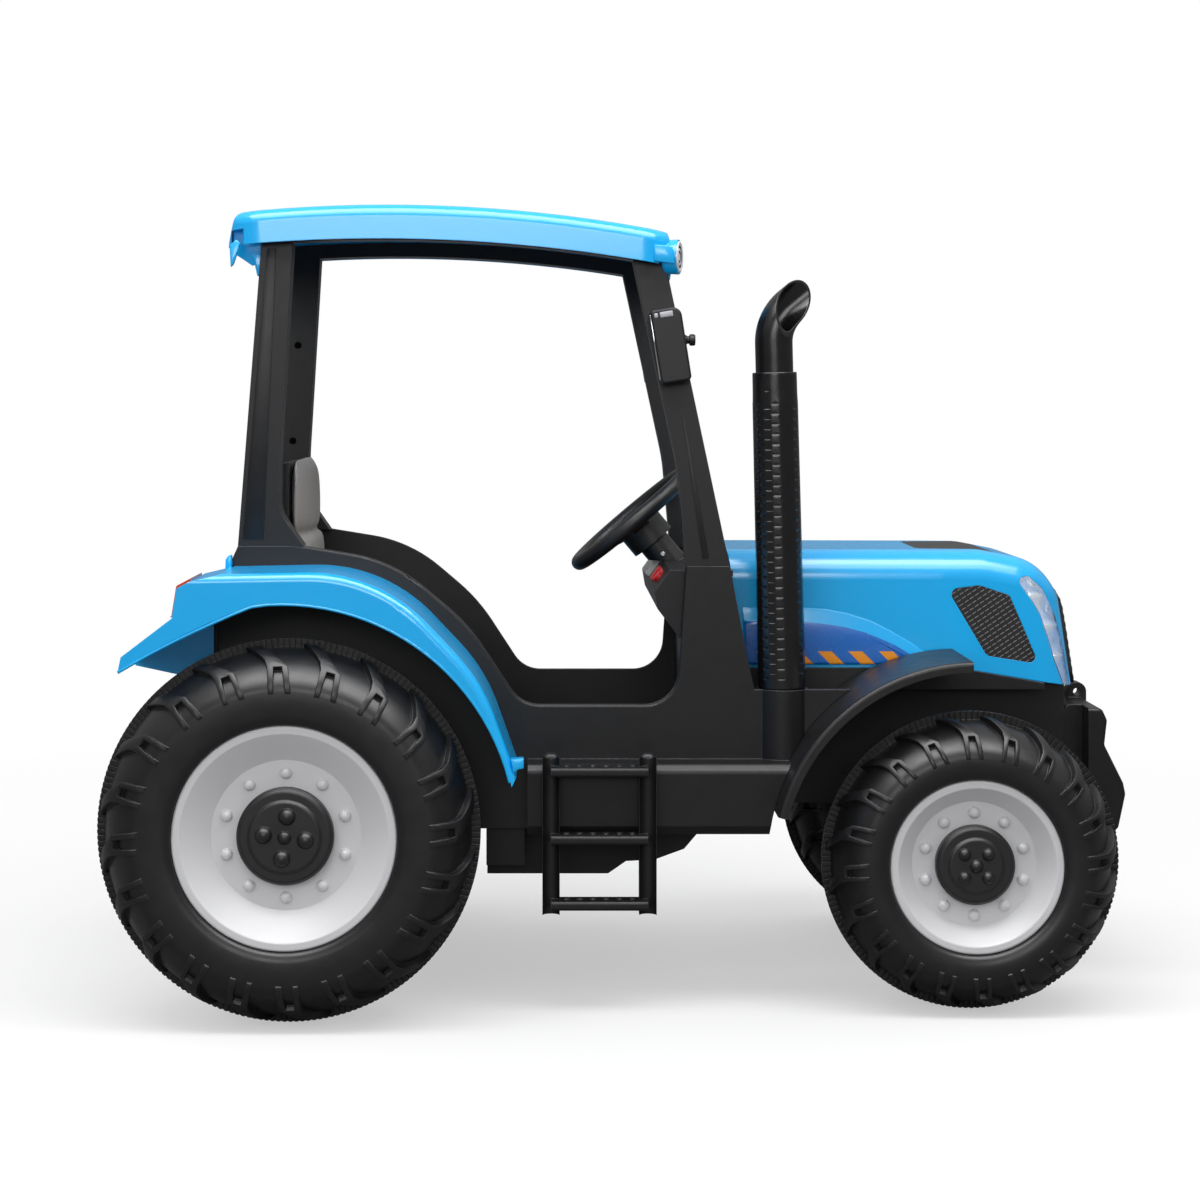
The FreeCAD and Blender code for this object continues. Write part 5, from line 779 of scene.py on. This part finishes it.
def pad(name, node, crease):
    """Stuffed pad over a CAD node, blown up by cloth and creased by a depth for each place and normal."""
    bm = bmesh.new()
    bm.from_mesh(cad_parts[node].data)
    bmesh.ops.remove_doubles(bm, verts=bm.verts, dist=0.02 * MM)
    bmesh.ops.recalc_face_normals(bm, faces=bm.faces)
    bm.normal_update()
    for spot, normal in [(v, v.normal.copy()) for v in bm.verts]:
        spot.co -= normal * PAD_DRAWN_IN * MM
    piece = finished(name, bm, hide, "chassis", 180.0)
    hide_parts(node)
    even = piece.modifiers.new("even", "REMESH")
    even.mode = "VOXEL"
    even.voxel_size = PAD_VOXEL * MM
    settled(piece, "even")
    before = [v.co.copy() for v in piece.data.vertices]
    blown = piece.modifiers.new("blown", "CLOTH")
    blown.settings.use_pressure = True
    blown.settings.uniform_pressure_force = PAD_PRESSURE
    blown.settings.effector_weights.gravity = 0.0
    for step in range(1, PAD_FRAMES + 1):
        bpy.context.scene.frame_set(step)
    settled(piece, "blown")
    bpy.context.scene.frame_set(1)
    for vertex, old in zip(piece.data.vertices, before):
        travel = vertex.co - old
        if travel.length > PAD_TRAVEL * MM:
            travel *= PAD_TRAVEL * MM / travel.length
        vertex.co = old + travel
    for vertex in piece.data.vertices:
        vertex.co -= vertex.normal * crease(vertex.co / MM, vertex.normal) * MM
    piece.data.materials.clear()
    piece.data.materials.append(hide)
    piece.data.shade_smooth()
    fine = piece.modifiers.new("fine", "SUBSURF")
    fine.levels = fine.render_levels = 1


pad("back_pad", "back_cushion", back_crease)
pad("seat_pad", "seat_cushion", seat_crease)


# Steering wheel and controls
# A black wheel with a horn button on a tilted column, a silver player, a red rocker and a starter
# button on the dash, and a pedal on the floor.
grip_black = moulded("grip black", (0.009, 0.009, 0.010), 0.44, grain=1200.0, dent=0.05)
silver = moulded("silver panel", (0.42, 0.42, 0.41), 0.34, grain=1500.0, dent=0.02, metallic=0.4)
switch_red = moulded("switch red", (0.62, 0.008, 0.014), 0.22, grain=400.0, wear_and_highlight=0.1)
dress(grip_black, "steering_wheel", "horn_button", "column_cover", "accelerator_pedal")
dress(plated, "steering_shaft")
dress(silver, "player_panel")
dress(switch_red, "direction_switch", "start_button")

COLUMN_SCREW_LINE = [(0, 0.2), (1.2, 0.9), (3.0, 0.8), (3.4, 0.2), (3.4, -3), (0, -3)]
COLUMN_SCREW_PLACE = (55.4, -28.4, 565.7)
screw = turned(COLUMN_SCREW_LINE, COLUMN_SCREW_PLACE, (0, -1, 0), 20)
finished("column_screw", screw, plated, "chassis")


# Floor, light and camera
# A plain pale floor, soft boxes overhead and behind the camera, an even surround, and a camera that
# stands level with the cab at the right side of the tractor.
AIR_DIFFUSE = 0.85
SKY_RAMP = {"From Min": -0.1, "From Max": 0.9, "To Min": 0.06, "To Max": 0.9}
FLOOR_HALF = 30.0
FLOOR_BOUNCE = (0.2, 0.2, 0.2, 1)
FLOOR_SEEN = (0.86, 0.86, 0.86, 1)
FLOOR_FADE = {"From Min": 0.8, "From Max": 2.4, "To Min": 0.45, "To Max": 1.0}


def emitter(name, size, place, aim, radiance):
    """Rectangular soft box of a size in metres that glows with an even radiance."""
    lamp = bpy.data.lights.new(name, "AREA")
    lamp.shape = "RECTANGLE"
    lamp.size, lamp.size_y = size
    lamp.energy = radiance * math.pi * size[0] * size[1]
    holder = bpy.data.objects.new(name, lamp)
    holder.location = place
    holder.rotation_euler = (Vector(aim) - Vector(place)).to_track_quat("-Z", "Y").to_euler()
    bpy.context.scene.collection.objects.link(holder)
    return holder


emitter("overhead", (3.4, 0.9), (0.0, -0.9, 2.7), (0.0, -0.1, 0.6), 5.0)
emitter("broad gloss", (3.6, 1.7), (0.0, -1.3, 2.6), (0.0, -0.1, 0.5), 5.0).visible_diffuse = False
emitter("side gloss", (2.8, 1.3), (-0.4, -5.6, 1.92), (-0.4, 0.0, 1.6), 7.0).visible_diffuse = False
emitter("front fill", (2.6, 1.6), (-1.2, -3.4, 1.6), (0.0, 0.0, 0.5), 1.2).visible_glossy = False

world = bpy.data.worlds.new("surround")
bpy.context.scene.world = world
world.use_nodes = True
air = world.node_tree
ray = put(air, "ShaderNodeLightPath", {}).outputs
way = put(air, "ShaderNodeTexCoord", {}).outputs["Generated"]
up = put(air, "ShaderNodeSeparateXYZ", {0: way}).outputs["Z"]
sky = put(air, "ShaderNodeMapRange", {"Value": up, **SKY_RAMP}).outputs[0]
seen = calc(air, "MULTIPLY_ADD", ray["Is Camera Ray"], calc(air, "SUBTRACT", 1.0, sky), sky)
shown = calc(air, "MAXIMUM", calc(air, "MAXIMUM", ray["Is Camera Ray"], ray["Is Glossy Ray"]),
             ray["Is Transmission Ray"])
level = put(air, "ShaderNodeMix", {0: shown, 2: AIR_DIFFUSE, 3: seen})
air.links.new(level.outputs[0], air.nodes["Background"].inputs["Strength"])
air.nodes["Background"].inputs["Color"].default_value = (1, 1, 1, 1)

sheet = bmesh.new()
bmesh.ops.create_grid(sheet, x_segments=1, y_segments=1, size=FLOOR_HALF)
mesh = bpy.data.meshes.new("floor")
sheet.to_mesh(mesh)
sheet.free()
floor = bpy.data.objects.new("floor", mesh)
bpy.context.scene.collection.objects.link(floor)
pale = bpy.data.materials.new("pale floor")
pale.use_nodes = True
tree = pale.node_tree
shade = tree.nodes["Principled BSDF"]
shade.inputs["Roughness"].default_value = 0.9
glow = put(tree, "ShaderNodeEmission", {"Color": (1, 1, 1, 1), "Strength": 1.0}).outputs[0]
camera_ray = put(tree, "ShaderNodeLightPath", {}).outputs["Is Camera Ray"]
bounce = put(tree, "ShaderNodeMix", {0: camera_ray, 6: FLOOR_BOUNCE, 7: FLOOR_SEEN}, data_type="RGBA")
tree.links.new(bounce.outputs[2], shade.inputs["Base Color"])
where = put(tree, "ShaderNodeTexCoord", {}).outputs["Object"]
far = put(tree, "ShaderNodeVectorMath", {0: where}, operation="LENGTH").outputs["Value"]
fade = put(tree, "ShaderNodeMapRange", {"Value": far, **FLOOR_FADE}).outputs[0]
share = calc(tree, "MULTIPLY", camera_ray, fade)
mix = put(tree, "ShaderNodeMixShader", {0: share, 1: shade.outputs[0], 2: glow})
tree.links.new(mix.outputs[0], tree.nodes["Material Output"].inputs["Surface"])
mesh.materials.append(pale)

lens = bpy.data.cameras.new("camera")
lens.sensor_width = 36.0
lens.lens = 73.68
lens.shift_x = 0.0467
lens.shift_y = -0.1708
camera = bpy.data.objects.new("camera", lens)
camera.location = (-0.108, -3.4, 0.784)
camera.rotation_euler = (math.radians(90), 0, 0)
bpy.context.scene.collection.objects.link(camera)
bpy.context.scene.camera = camera
bpy.context.scene.view_settings.view_transform = "Standard"
